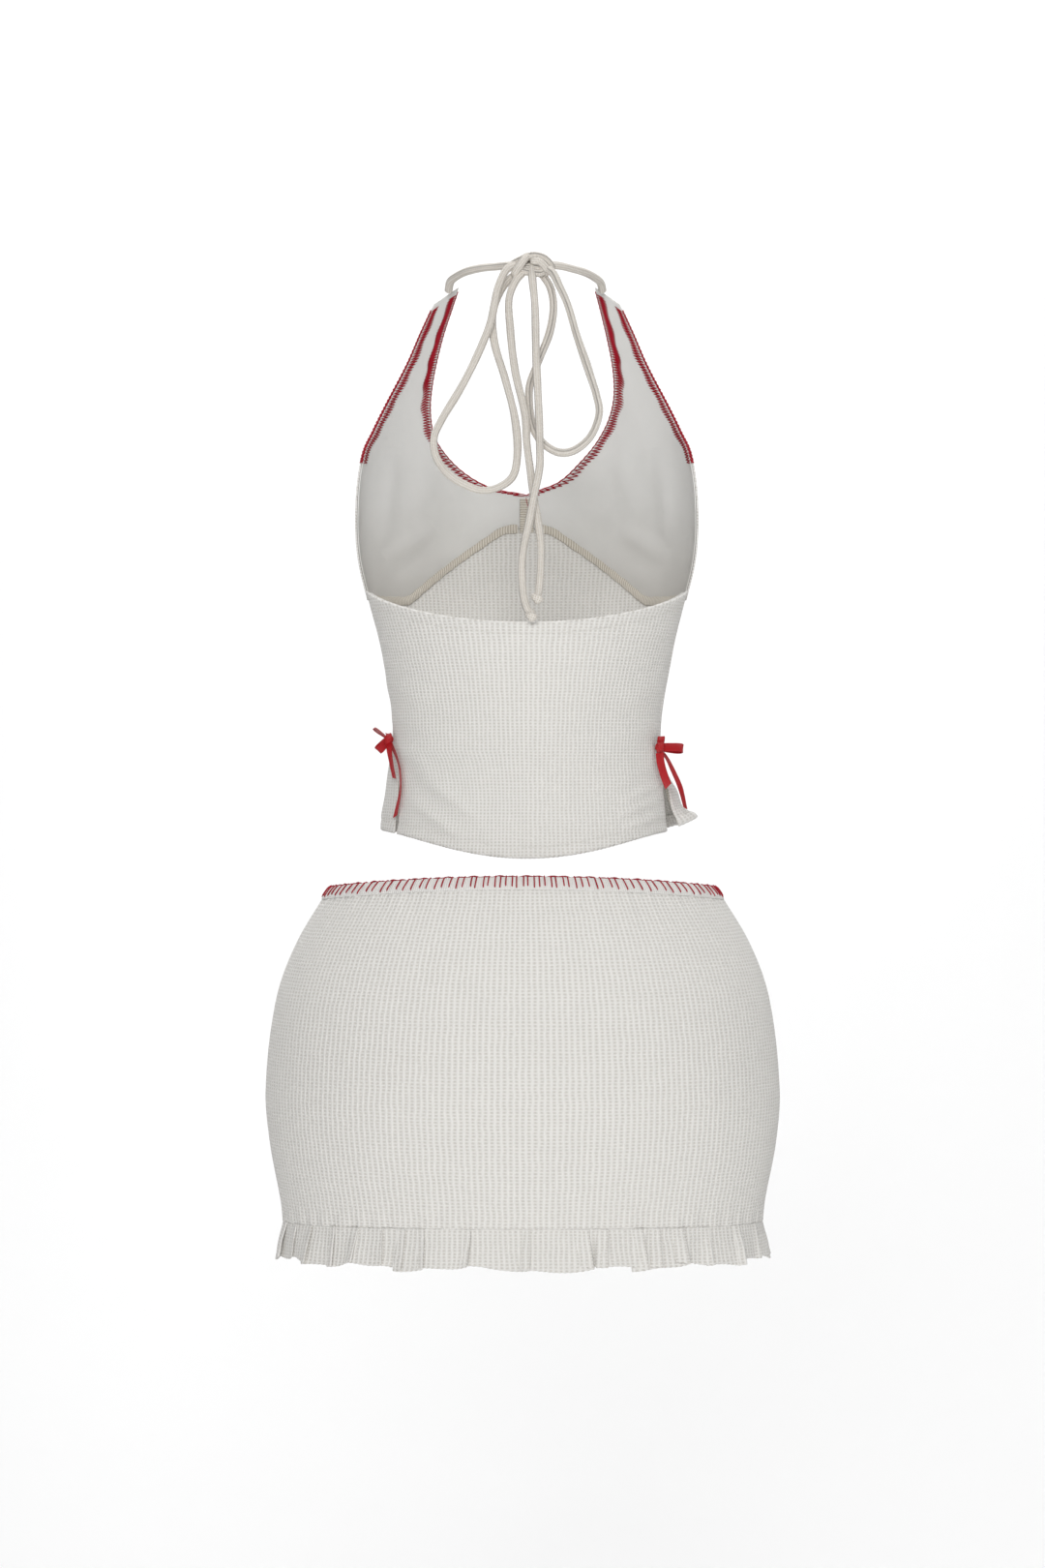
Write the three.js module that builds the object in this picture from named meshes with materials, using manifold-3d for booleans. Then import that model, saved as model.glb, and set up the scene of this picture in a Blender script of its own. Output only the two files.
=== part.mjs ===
// A two-piece knit cheer uniform, filled out as it is worn: a halter crop top that ties behind the neck,
// with ribbon bows over its side slits, and a low mini skirt with an elastic waist and a gathered ruffle.
// Millimetres. X is the wearer's right, Y is the way the wearer faces and Z is up.
// The origin is the middle of the wearer's body at the natural waist, the narrowest level of the top.

import * as THREE from "three";
import { mergeVertices } from "three/addons/utils/BufferGeometryUtils.js";
import Module from "manifold-3d";

const wasm = await Module();
wasm.setup();

// ---- Cloth and trim ----
const KNIT = 1.6; // thickness of the waffle knit
const LINING = 0.8; // thickness of the smooth cup lining
const GAP = 0.4; // between two layers that are sewn together
const INSIDE = 0.7; // from a layer's inner face to what is sewn down inside it
const SEAM_GAP = 0.8; // between two edges that meet at a seam
const TIE_GAP = 0.5; // between a knot and what is tied into it
const ALLOWANCE = 1.1; // thickness of an overlocked seam allowance
const ALLOWANCE_WIDTH = 7;
const HEM_WIDTH = 10; // depth of the turned-up hems
const ELASTIC = 0.7; // thickness of the elastic bands
const THREAD = 1.2; // diameter of the bead that the red overlock thread makes on an edge
const CORD = 6.6; // diameter of the knitted halter strings
const RIBBON = 0.6; // thickness of the satin ribbon
const RIBBON_WIDTH = 6;

// ---- The top: levels and half-widths of the torso it is filled out to ----
const TOP_HEM_SIDE = -91.5;
const TOP_HEM_DIP = 22.3; // how much lower the hem is at the middle than at the sides
const SLIT_TOP = -22;
const WAIST_HALF_WIDTH = 116.2;
const HEM_HALF_WIDTH = 127.5;
const RIB_LEVEL = 110;
const RIB_HALF_WIDTH = 137.3;
const BUST_LEVEL = 177;
const BUST_HALF_WIDTH = 148;
const SHOULDER_LEVEL = 395;
const SHOULDER_HALF_WIDTH = 123;
const TOP_SHIFT = 1.2; // the top sits this far to the right of the origin, and the skirt to the left
const SKIRT_SHIFT = -2.3;
const BACK_EDGE_SIDE = 118; // level of the back panel's upper edge at the sides
const BACK_EDGE_DIP = 31.5;
const UNDERBUST_SIDE = 112;
const UNDERBUST_CENTRE = 180;
const NECKLINE_BOTTOM = 209;

// ---- Bust ----
const BUST_FULLNESS = 30;
const BUST_SPACING = 72; // from the middle of the body to the middle of a cup
const PAD_THICKNESS = 4.5;
const PAD_EDGE = 1; // the pads thin out to this along their edges
const PAD_ANGLE = 38; // from the centre front
const PAD_HALF_ANGLE = 21;
const PAD_HEIGHT = 54;
const PAD_RISE = 7; // above the underbust seam

// ---- Side slits: how far each edge swings away from the side seam, in degrees, and flares out ----
const SEAM_ANGLE_TOP = 90;
const SEAM_ANGLE_SLIT = 79;
const SLITS = {
  left: { side: -1, backEdge: 63, frontEdge: 66.5, flare: 2 },
  right: { side: 1, backEdge: 75, frontEdge: 79, flare: 21 },
};

// ---- The skirt ----
const SKIRT_TOP_SIDE = -143;
const SKIRT_BACK_RISE = 12; // the waist's edge is this much higher at the middle of the back
const SKIRT_FRONT_DROP = 5;
const SKIRT_WAIST_HALF_WIDTH = 169.8;
const HIP_LEVEL = -318;
const HIP_HALF_WIDTH = 223.8;
const RUFFLE_SEAM_SIDE = -433;
const RUFFLE_SEAM_RISE = 6;
const RUFFLE_SEAM_HALF_WIDTH = 209.2;
const RUFFLE_DROP = 32;
const RUFFLE_FLARE = 5;
const RUFFLE_WAVE = 3.2; // how far a gather stands in or out
const RUFFLE_FOLDS = 13; // gathers on each half of the skirt
const WAIST_ELASTIC_WIDTH = 9;
const CASING_WIDTH = 14;

const COLOURS = {
  knit: 0xe9e6de,
  lining: 0xdedcd4,
  seam: 0xe6e1d3,
  foam: 0xefece4,
  elastic: 0xf2f0ea,
  red: 0x9c1420,
  ribbon: 0xb10d18,
  cord: 0xece7dc,
};

const uniform = new THREE.Group();

function add(name, colour, geometry) {
  const material = new THREE.MeshStandardMaterial({ color: colour, roughness: 0.85, metalness: 0 });
  const mesh = new THREE.Mesh(geometry, material);
  mesh.name = name;
  uniform.add(mesh);
}

// ---- Solids ----

// A closed solid through cross-sections that all have the same, even number of points. With ring set,
// the last section joins the first.
function loft(sections, ring = false) {
  const around = sections[0].length;
  const at = (s, i) => (s % sections.length) * around + (i % around);
  const faces = [];
  const quad = (a, b, c, d) => faces.push(a, b, c, a, c, d);
  const spans = ring ? sections.length : sections.length - 1;
  for (let s = 0; s < spans; s++) {
    for (let i = 0; i < around; i++) {
      const corners = [at(s, i), at(s, i + 1), at(s + 1, i + 1), at(s + 1, i)];
      // Both faces of a sheet fold along the same diagonal.
      if (i >= around / 2) corners.push(corners.shift());
      quad(...corners);
    }
  }
  if (!ring) {
    const last = sections.length - 1;
    for (let i = 0; i < around / 2 - 1; i++) {
      const far = around - 1 - i;
      quad(at(0, i), at(0, far), at(0, far - 1), at(0, i + 1));
      quad(at(last, i), at(last, i + 1), at(last, far - 1), at(last, far));
    }
  }
  return facingOut(sections.flat(), faces);
}

function facingOut(points, faces) {
  let volume = 0;
  for (let i = 0; i < faces.length; i += 3) {
    const [a, b, c] = [points[faces[i]], points[faces[i + 1]], points[faces[i + 2]]];
    volume += a.dot(new THREE.Vector3().crossVectors(b, c));
  }
  if (volume < 0) faces.reverse();
  const geometry = new THREE.BufferGeometry();
  const coordinates = points.flatMap((p) => [p.x, p.y, p.z]);
  geometry.setAttribute("position", new THREE.Float32BufferAttribute(coordinates, 3));
  geometry.setIndex(faces);
  return geometry;
}

// Evenly spaced numbers from 0 to 1.
const steps = (count) => Array.from({ length: count + 1 }, (_, i) => i / count);

// A sheet of cloth between two distances from a skin. place(u, v) gives the skin's own coordinates, and
// inner and outer are distances or functions of (u, v).
function cloth(skin, place, inner, outer, across, down, ring = false) {
  const distance = (d, u, v) => (typeof d === "function" ? d(u, v) : d);
  const columns = ring ? steps(across).slice(0, -1) : steps(across);
  const rows = steps(down);
  const sections = columns.map((u) => {
    const outside = rows.map((v) => lift(skin, ...place(u, v), distance(outer, u, v)));
    const inside = rows.map((v) => lift(skin, ...place(u, v), distance(inner, u, v)));
    return [...outside, ...inside.reverse()];
  });
  return loft(sections, ring);
}

// The point at that angle and level of a skin, moved out along the skin's normal.
function lift(skin, angle, level, distance) {
  const [turn, rise] = [0.4, 0.4];
  const along = skin(angle + turn, level).sub(skin(angle - turn, level));
  const up = skin(angle, level + rise).sub(skin(angle, level - rise));
  return skin(angle, level).addScaledVector(along.cross(up).normalize(), distance);
}

// A tube of that diameter along a smooth curve through the points.
function tube(points, diameter, sides, count) {
  const curve = new THREE.CatmullRomCurve3(points.map((p) => new THREE.Vector3(...p)), false, "centripetal");
  const ring = new THREE.Shape(
    steps(sides).slice(0, -1).map((t) => {
      const a = 2 * Math.PI * t;
      return new THREE.Vector2(Math.cos(a), Math.sin(a)).multiplyScalar(diameter / 2);
    }),
  );
  return closed(new THREE.ExtrudeGeometry(ring, { steps: count, extrudePath: curve, bevelEnabled: false }));
}

function closed(geometry) {
  geometry.deleteAttribute("normal");
  geometry.deleteAttribute("uv");
  return geometry;
}

// A thin bead of thread through [centre, outward direction] pairs.
function bead(along, ring) {
  const sections = along.map(([centre, out], i) => {
    const before = along.at(ring ? i - 1 : Math.max(i - 1, 0))[0];
    const after = along[ring ? (i + 1) % along.length : Math.min(i + 1, along.length - 1)][0];
    const across = after.clone().sub(before).cross(out).normalize();
    return steps(6).slice(0, -1).map((t) => {
      const a = 2 * Math.PI * t;
      return centre.clone().addScaledVector(out, (THREAD / 2) * Math.cos(a))
        .addScaledVector(across, (THREAD / 2) * Math.sin(a));
    });
  });
  return loft(sections, ring);
}

// The lump of a knot, and the same lump grown by the gap that everything tied into it keeps.
function knot(centre, radii, grow = 0) {
  const [rx, ry, rz] = radii.map((r) => r + grow);
  const ball = new THREE.SphereGeometry(1, 14, 8).rotateZ(Math.PI / 2); // its poles lie along X
  return closed(ball.scale(rx, ry, rz).translate(...centre));
}

function solid(geometry) {
  const merged = mergeVertices(closed(geometry), 1e-4);
  const mesh = new wasm.Mesh({
    numProp: 3,
    vertProperties: new Float32Array(merged.attributes.position.array),
    triVerts: new Uint32Array(merged.index.array),
  });
  return new wasm.Manifold(mesh);
}

// A cord or ribbon that ends at the surface of its knots.
function tiedInto(geometry, ...knots) {
  let left = solid(geometry);
  for (const [centre, radii] of knots) left = left.subtract(solid(knot(centre, radii, TIE_GAP)));
  const mesh = left.getMesh();
  const trimmed = new THREE.BufferGeometry();
  trimmed.setAttribute("position", new THREE.BufferAttribute(new Float32Array(mesh.vertProperties), 3));
  trimmed.setIndex(Array.from(mesh.triVerts));
  return trimmed;
}

// A flat ribbon along a smooth curve through the points, with its width along that direction.
function ribbon(points, widthAlong, count) {
  const curve = new THREE.CatmullRomCurve3(points.map((p) => new THREE.Vector3(...p)), false, "centripetal");
  const sections = steps(count).map((t) => {
    const tangent = curve.getTangentAt(t);
    const flat = new THREE.Vector3(...widthAlong).cross(tangent).normalize();
    const wide = tangent.clone().cross(flat);
    const corner = (w, f) =>
      curve.getPointAt(t).addScaledVector(wide, (w * RIBBON_WIDTH) / 2)
        .addScaledVector(flat, (f * RIBBON) / 2);
    return [corner(-1, 1), corner(1, 1), corner(1, -1), corner(-1, -1)];
  });
  return loft(sections);
}

// A smooth line through [level, size] points, as a function of the level.
function line(...points) {
  const slope = (i) => {
    const [a, b] = [points[Math.max(i - 1, 0)], points[Math.min(i + 1, points.length - 1)]];
    return (b[1] - a[1]) / (b[0] - a[0]);
  };
  return (level) => {
    let i = 0;
    while (i < points.length - 2 && level > points[i + 1][0]) i++;
    const [[z0, s0], [z1, s1]] = [points[i], points[i + 1]];
    const h = z1 - z0;
    const t = (level - z0) / h;
    if (t < 0 || t > 1) return t < 0 ? s0 + slope(i) * (level - z0) : s1 + slope(i + 1) * (level - z1);
    const [t2, t3] = [t * t, t * t * t];
    return (
      (2 * t3 - 3 * t2 + 1) * s0 + (t3 - 2 * t2 + t) * h * slope(i) +
      (3 * t2 - 2 * t3) * s1 + (t3 - t2) * h * slope(i + 1)
    );
  };
}

// A smooth outline through [angle, level] points, as a function of 0 to 1 along it.
function outline(points) {
  const curve = new THREE.SplineCurve(points.map(([angle, level]) => new THREE.Vector2(angle, level)));
  return (t) => curve.getPointAt(t);
}

// ---- The wearer's skin ----
// Angles are in degrees from the middle of the back, and positive towards the right.

const torsoWidth = line(
  [TOP_HEM_SIDE - TOP_HEM_DIP, HEM_HALF_WIDTH], [-60, (HEM_HALF_WIDTH + 2 * WAIST_HALF_WIDTH) / 3 + 1.5],
  [0, WAIST_HALF_WIDTH], [60, (WAIST_HALF_WIDTH + RIB_HALF_WIDTH) / 2 - 2], [RIB_LEVEL, RIB_HALF_WIDTH],
  [145, BUST_HALF_WIDTH - 2.5], [BUST_LEVEL, BUST_HALF_WIDTH], [235, BUST_HALF_WIDTH - 2],
  [300, BUST_HALF_WIDTH - 6], [SHOULDER_LEVEL, SHOULDER_HALF_WIDTH],
);
const torsoBack = line([-113, 90], [-60, 86], [0, 82], [60, 88], [110, 93], [177, 98], [395, 60]);
const torsoFront = line(
  [-113, 96], [-60, 92], [0, 86], [60, 88], [110, 92], [175, 98], [230, 93], [300, 73], [350, 45], [395, 14],
);
const skirtWidth = line(
  [RUFFLE_SEAM_SIDE - RUFFLE_DROP, RUFFLE_SEAM_HALF_WIDTH + RUFFLE_FLARE],
  [RUFFLE_SEAM_SIDE, RUFFLE_SEAM_HALF_WIDTH],
  [-365, (RUFFLE_SEAM_HALF_WIDTH + HIP_HALF_WIDTH) / 2 + 4],
  [HIP_LEVEL, HIP_HALF_WIDTH],
  [-240, HIP_HALF_WIDTH - 9],
  [-190, HIP_HALF_WIDTH - 27],
  [SKIRT_TOP_SIDE, SKIRT_WAIST_HALF_WIDTH - KNIT],
  [SKIRT_TOP_SIDE + SKIRT_BACK_RISE, SKIRT_WAIST_HALF_WIDTH - 10],
);
const skirtBack = line(
  [-465, 127], [-433, 122], [-365, 136], [-300, 145], [-240, 141], [-180, 125], [-131, 106],
);
const skirtFront = line([-465, 112], [-433, 108], [-300, 115], [-200, 113], [-131, 102]);

const radians = THREE.MathUtils.degToRad;
const share = (low, high, value) => THREE.MathUtils.clamp((value - low) / (high - low), 0, 1);
const cosine = (angle, power) => Math.abs(Math.cos(radians(angle))) ** power;
const blend = THREE.MathUtils.lerp;

function skinAt(shift, width, back, front, bulge, angle, level) {
  const [s, c] = [Math.sin(radians(angle)), Math.cos(radians(angle))];
  const x = width(level) * s;
  const y = c > 0 ? -back(level) * c : -front(level) * c + bulge(x, level) * Math.sqrt(-c);
  return new THREE.Vector3(x + shift, y, level);
}

const bust = (x, level) =>
  BUST_FULLNESS * Math.exp(-(((Math.hypot(x, 14) - BUST_SPACING) / 44) ** 2) - ((level - 165) / 48) ** 2);
const torso = (angle, level) => skinAt(TOP_SHIFT, torsoWidth, torsoBack, torsoFront, bust, angle, level);
const hips = (angle, level) => skinAt(SKIRT_SHIFT, skirtWidth, skirtBack, skirtFront, () => 0, angle, level);

// ---- The top: back panel, front midriff panel and what turns in along their edges ----

const backEdge = (angle) => BACK_EDGE_SIDE - BACK_EDGE_DIP * cosine(angle, 1.3);
const topHem = (angle) => TOP_HEM_SIDE - TOP_HEM_DIP * cosine(angle, 3);
const risen = line([-90, 0], [-58, 0], [-48, 0.05], [-16, 0.8], [-8, 0.98], [0, 1]);
const underbust = (angle) => blend(UNDERBUST_SIDE, UNDERBUST_CENTRE, risen(Math.abs(angle) - 180));

// The angle of a panel's side edge. Above the slit the two panels meet at the side seam, and below it
// they swing apart.
function sideAngle(slit, level, isBack) {
  const seam = blend(SEAM_ANGLE_SLIT, SEAM_ANGLE_TOP, share(SLIT_TOP, BACK_EDGE_SIDE, level));
  const open = 1 - share(TOP_HEM_SIDE, SLIT_TOP, level) ** 3;
  const halfGap = 0.14; // degrees, which is about the sewn gap at this radius
  return blend(seam, isBack ? slit.backEdge : slit.frontEdge, open) + (isBack ? -halfGap : halfGap);
}

// The front panel wraps round to the back. Beside the slits its corners puff out and lift.
function frontSkin(angle, level) {
  const slit = angle > 0 ? SLITS.right : SLITS.left;
  const near = share(140, 92, Math.abs(angle)) ** 2 * (1 - share(92, 70, Math.abs(angle)));
  const open = share(SLIT_TOP, TOP_HEM_SIDE, level) ** 1.3;
  const point = torso(angle, level);
  point.x += slit.side * slit.flare * near * open;
  point.z += 0.5 * slit.flare * near * open ** 2;
  return point;
}

// The level a share of the way down a panel. One row of it lies at the tops of the slits, and the rows
// above that lie closer together towards the top.
function downPanel(top, hem, v, rowAtSlit) {
  if (v <= rowAtSlit) return blend(top, SLIT_TOP, (v / rowAtSlit) ** 1.5);
  return blend(SLIT_TOP, hem, (v - rowAtSlit) / (1 - rowAtSlit));
}

// Coordinates on the back panel, from the left side seam to the right and from the top edge down.
function onBack(u, v) {
  const slit = u < 0.5 ? SLITS.left : SLITS.right;
  const share01 = 2 * u - 1;
  let level = 0;
  let angle = share01 * 85;
  for (let i = 0; i < 4; i++) {
    level = downPanel(backEdge(angle), topHem(angle), v, 1 / 2);
    angle = Math.abs(share01) * sideAngle(slit, level, true) * Math.sign(share01);
  }
  return [angle, level];
}

// Coordinates on the front midriff panel, from the left side seam round the front to the right.
function onFront(u, v) {
  const slit = u < 0.5 ? SLITS.left : SLITS.right;
  const fromFront = Math.abs(1 - 2 * u);
  let level = 0;
  let angle = 180 - 90 * fromFront;
  for (let i = 0; i < 4; i++) {
    level = downPanel(underbust(angle) - SEAM_GAP / 2, topHem(angle), v, 7 / 12);
    angle = 180 - fromFront * (180 - sideAngle(slit, level, false));
  }
  return [angle * slit.side, level];
}

add("back_panel", COLOURS.knit, cloth(torso, onBack, 0, KNIT, 28, 10));
add("front_midriff_panel", COLOURS.knit, cloth(frontSkin, onFront, 0, KNIT, 36, 12));

// A strip that is turned in along an edge of a panel. on gives the edge's own coordinates.
function facing(skin, on, width, inner, outer, across) {
  const place = (u, v) => {
    const [angle, level] = on(u);
    return [angle, level + width * v];
  };
  return cloth(skin, place, inner, outer, across, 1);
}

const insideHem = -INSIDE - KNIT / 2;
const insideElastic = -2 * GAP - ELASTIC;
const EDGE_INSET = 0.03; // share of a panel's width that a turned-in strip stops short of the slit
const inset = (u) => blend(EDGE_INSET, 1 - EDGE_INSET, u);

add("back_top_elastic", COLOURS.elastic,
  facing(torso, (u) => onBack(inset(u), 0), -HEM_WIDTH + 2, -GAP - ELASTIC, -GAP, 28));
add("back_top_facing", COLOURS.knit,
  facing(torso, (u) => onBack(inset(u), 0), -HEM_WIDTH, insideElastic - KNIT / 2, insideElastic, 28));
add("back_hem_facing", COLOURS.knit,
  facing(torso, (u) => onBack(inset(u), 1), HEM_WIDTH, insideHem, -INSIDE, 28));
add("front_hem_facing", COLOURS.knit,
  facing(frontSkin, (u) => onFront(inset(u), 1), HEM_WIDTH, insideHem, -INSIDE, 36));

// ---- The top: seams at the sides and along the slits ----

function seamStrip(skin, centre, low, high, inner, count) {
  const half = ALLOWANCE_WIDTH / 2;
  const place = (u, v) => {
    const level = blend(high, low, u);
    const degrees = THREE.MathUtils.radToDeg(half / Math.abs(skin(90, level).x));
    return [centre(level) + blend(-degrees, degrees, v), level];
  };
  return cloth(skin, place, inner - ALLOWANCE, inner, count, 2);
}

for (const [name, slit] of Object.entries(SLITS)) {
  const { side } = slit;
  const clearOfHem = ALLOWANCE_WIDTH / 2 + 3 * GAP; // a strip's middle, from the panel's edge
  const degreesFor = (distance) => THREE.MathUtils.radToDeg(distance / WAIST_HALF_WIDTH);
  add(`${name}_side_seam`, COLOURS.seam,
    seamStrip(torso, (z) => side * sideAngle(slit, z, true), SLIT_TOP + GAP,
      BACK_EDGE_SIDE - BACK_EDGE_DIP - HEM_WIDTH, -INSIDE, 10));
  add(`${name}_back_slit_facing`, COLOURS.seam,
    seamStrip(torso, (z) => side * (sideAngle(slit, z, true) - degreesFor(clearOfHem)),
      TOP_HEM_SIDE + HEM_WIDTH, SLIT_TOP - GAP, -INSIDE, 10));
  add(`${name}_front_slit_facing`, COLOURS.seam,
    seamStrip(frontSkin, (z) => side * (sideAngle(slit, z, false) + degreesFor(clearOfHem)),
      TOP_HEM_SIDE + HEM_WIDTH, SLIT_TOP - GAP, -INSIDE, 10));
}

// ---- The top: cups ----
// Each is a patch between the underbust seam, the neckline, the armhole and the strap's end.

// [degrees from the centre front, level]. The opening hangs a little fuller on the left.
const STRAP_INSIDE = [29, 386];
const NECKLINES = {
  left: [
    [0, NECKLINE_BOTTOM], [13, 216], [23.5, 230], [31.5, 248], [35.6, 264], [37.2, 285], [36.9, 308],
    [35.6, 330], [33.8, 350], [31.2, 370], STRAP_INSIDE,
  ],
  right: [
    [0, NECKLINE_BOTTOM], [11.5, 221], [19.4, 238], [26, 256], [31, 276], [33.6, 297], [33.9, 321],
    [32.6, 345], [30.8, 368], STRAP_INSIDE,
  ],
};
const ARMHOLE_THREAD_LOW = 232; // the hem is turned in by hand above this, and plain below it
const ARMHOLE = [
  [90, BACK_EDGE_SIDE], [90, 190], [80, 236], [68, 262], [58, 290], [49.8, 320], [44.2, 350], [39.8, 372],
];

const bottom = (t) => new THREE.Vector2(90 * t, underbust(180 - 90 * t) + SEAM_GAP / 2);
const inner = {};
for (const [name, { side }] of Object.entries(SLITS)) {
  const centreFront = [0, (UNDERBUST_CENTRE + NECKLINE_BOTTOM) / 2];
  inner[side] = outline([bottom(0).toArray(), centreFront, ...NECKLINES[name]]);
}
const outer = outline([bottom(1).toArray(), ...ARMHOLE]);
const strapEnd = outline([STRAP_INSIDE, ARMHOLE.at(-1)]);

// A Coons patch over the four edges, with u from the centre front to the side and v from the bottom up.
function onCup(side, u, v) {
  const along = bottom(u).multiplyScalar(1 - v).add(strapEnd(u).multiplyScalar(v));
  const up = inner[side](v).multiplyScalar(1 - u).add(outer(v).multiplyScalar(u));
  const corners = bottom(0).multiplyScalar((1 - u) * (1 - v)).add(bottom(1).multiplyScalar(u * (1 - v)))
    .add(strapEnd(0).multiplyScalar((1 - u) * v)).add(strapEnd(1).multiplyScalar(u * v));
  return along.add(up).sub(corners);
}

// A pad's lower edge follows the underbust seam. Both of these run from -1 to 1 over the pad.
const padAcross = (fromFront) => (fromFront - PAD_ANGLE) / PAD_HALF_ANGLE;
const padUp = (fromFront, level) => (2 * (level - underbust(180 - fromFront) - PAD_RISE)) / PAD_HEIGHT - 1;

function cupLayer(side, from, thickness, overPad) {
  const centreGap = THREE.MathUtils.radToDeg(GAP / 2 / 100);
  const place = (u, v) => {
    const point = onCup(side, u, v);
    return [side * (180 - Math.max(point.x, centreGap) + (u === 1 ? 0.1 : 0)), point.y];
  };
  const swell = (u, v) => {
    const point = onCup(side, u, v);
    const within = 2.2 - padAcross(point.x) ** 2 - padUp(point.x, point.y) ** 2;
    return overPad ? (PAD_THICKNESS + 2 * GAP) * THREE.MathUtils.smoothstep(within, 0, 1) : 0;
  };
  const inside = (u, v) => from + swell(u, v);
  return cloth(torso, place, inside, (u, v) => inside(u, v) + thickness, 20, CUP_ROWS);
}

const shellFrom = LINING + GAP;
const CUP_ROWS = 15;
const SEAM_START = 3.2; // degrees from the centre front, beside the centre seam's allowance
for (const [name, { side }] of Object.entries(SLITS)) {
  add(`${name}_cup_lining`, COLOURS.lining, cupLayer(side, 0, LINING, false));
  add(`${name}_cup_shell`, COLOURS.knit, cupLayer(side, shellFrom, KNIT, true));
  const onPad = (u, v) => {
    const across = blend(-1, 1, u);
    const fromFront = PAD_ANGLE + PAD_HALF_ANGLE * across;
    const height = PAD_HEIGHT * Math.sqrt(1 - 0.8 * across ** 2);
    return [side * (180 - fromFront), underbust(180 - fromFront) + PAD_RISE + height * v];
  };
  const fullness = (u, v) => blend(PAD_EDGE, PAD_THICKNESS, Math.sin(Math.PI * u) * Math.sin(Math.PI * v));
  add(`${name}_bust_pad`, COLOURS.foam,
    cloth(torso, onPad, shellFrom, (u, v) => shellFrom + fullness(u, v) - GAP, 10, 8));
  // The allowance of the underbust seam lies on the lining, and the wearer's side of it shows.
  const onSeam = (u, v) => {
    const angle = 180 - blend(SEAM_START, 86, u);
    return [side * angle, underbust(angle) + blend(-ALLOWANCE_WIDTH, ALLOWANCE_WIDTH, v) / 2];
  };
  add(`${name}_underbust_seam`, COLOURS.seam, cloth(torso, onSeam, -INSIDE - ALLOWANCE, -INSIDE, 20, 2));
}

add("centre_front_seam", COLOURS.seam,
  cloth(torso, (u, v) => [180 + blend(-2.2, 2.2, v), blend(UNDERBUST_CENTRE - 3, NECKLINE_BOTTOM - 2, u)],
    -INSIDE - ALLOWANCE, -INSIDE, 4, 4));

// ---- The top: red overlock thread along the neckline and the armholes ----

// A bead of thread lies along an edge of the cup, from that level up, just clear of the cloth.
function edgeThread(edgeU, fromLevel, side) {
  const edge = edgeU === 0 ? inner[side] : outer;
  const rows = steps(CUP_ROWS).filter((v) => edge(v).y > fromLevel);
  const along = rows.map((row) => {
    const v = Math.min(row, 0.985);
    const [on, within] = [onCup(side, edgeU, v), onCup(side, blend(edgeU, 0.5, 0.05), v)];
    const middle = (LINING + GAP + KNIT) / 2;
    const rim = lift(torso, side * (180 - on.x), on.y, middle);
    const away = rim.clone().sub(lift(torso, side * (180 - within.x), within.y, middle)).normalize();
    return [rim.addScaledVector(away, THREAD / 2 + GAP), away];
  });
  return bead(along, false);
}

for (const [name, { side }] of Object.entries(SLITS)) {
  add(`${name}_neckline_thread`, COLOURS.red, edgeThread(0, NECKLINE_BOTTOM + 0.8, side));
  add(`${name}_armhole_thread`, COLOURS.red, edgeThread(1, ARMHOLE_THREAD_LOW, side));
}

// ---- The halter strings, from the straps' ends to the knot behind the neck ----

const NECK_KNOT = [[5, -66, 394], [16, 9, 9]];
const strapTop = (side) => lift(torso, side * 147, SHOULDER_LEVEL - 11, KNIT).toArray();

// Each string runs over the side of the neck, and its far end is inside the knot.
const NECK_ROUTES = {
  left: [
    [-66, 0, 390], [-60, -14, 393], [-51, -30, 395], [-38, -44, 396], [-26, -52, 396], [-14, -59, 396],
    [0, -64, 395],
  ],
  right: [
    [66, 0, 389], [60, -15, 392], [51, -32, 394], [40, -47, 395], [30, -57, 396], [20, -63, 396],
    [8, -66, 395],
  ],
};
// The bow's loops start and end in the knot, and its tails end in a small knot each.
const LEFT_LOOP = [
  [0, -69, 396], [-15, -72, 392], [-23, -76, 377], [-30, -83, 344], [-41, -85, 316], [-55, -87, 288],
  [-72, -91, 259], [-78, -93, 245], [-77, -95, 230], [-68, -97, 215], [-54, -99, 205], [-37, -100, 199],
  [-22, -99, 202], [-11, -97, 211], [-7, -94, 230], [-9, -88, 260], [-17, -82, 294], [-27, -76, 329],
  [-28, -72, 353], [-21, -67, 374], [-11, -64, 386], [0, -63, 391],
];
const RIGHT_LOOP = [
  [10, -69, 394], [22, -73, 389], [29, -77, 376], [36, -79, 360], [44, -80, 333], [54, -83, 303],
  [61, -86, 280], [63, -88, 266], [55, -91, 245], [40, -93, 233], [28, -93, 232], [16, -91, 239],
  [7, -88, 252], [3, -84, 278], [4, -81, 292], [13, -77, 316], [21, -73, 338], [24, -69, 360],
  [21, -65, 377], [13, -63, 389], [8, -65, 394],
];
const FRONT_TAIL = [
  [5, -70, 394], [6, -77, 381], [8, -84, 359], [9, -90, 316], [11, -97, 272], [12, -101, 240],
  [12, -104, 219], [7, -107, 193], [3, -108, 172], [-1, -105, 153], [-3, -102, 138], [-3, -101, 124],
  [-2, -101, 110], [1, -101, 99], [5, -101, 92],
];
const BACK_TAIL = [
  [1, -69, 390], [-8, -72, 382], [-14, -75, 366], [-13, -78, 338], [-9, -83, 303], [0, -91, 262],
  [1, -94, 241], [4, -97, 217], [7, -100, 193], [11, -101, 170], [13, -101, 154], [13, -101, 137],
  [12, -101, 121], [10, -101, 107],
];
const TIP_RADII = [5.2, 4.6, 5.6];
const frontTip = [FRONT_TAIL.at(-1), TIP_RADII];
const backTip = [BACK_TAIL.at(-1), TIP_RADII];

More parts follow.
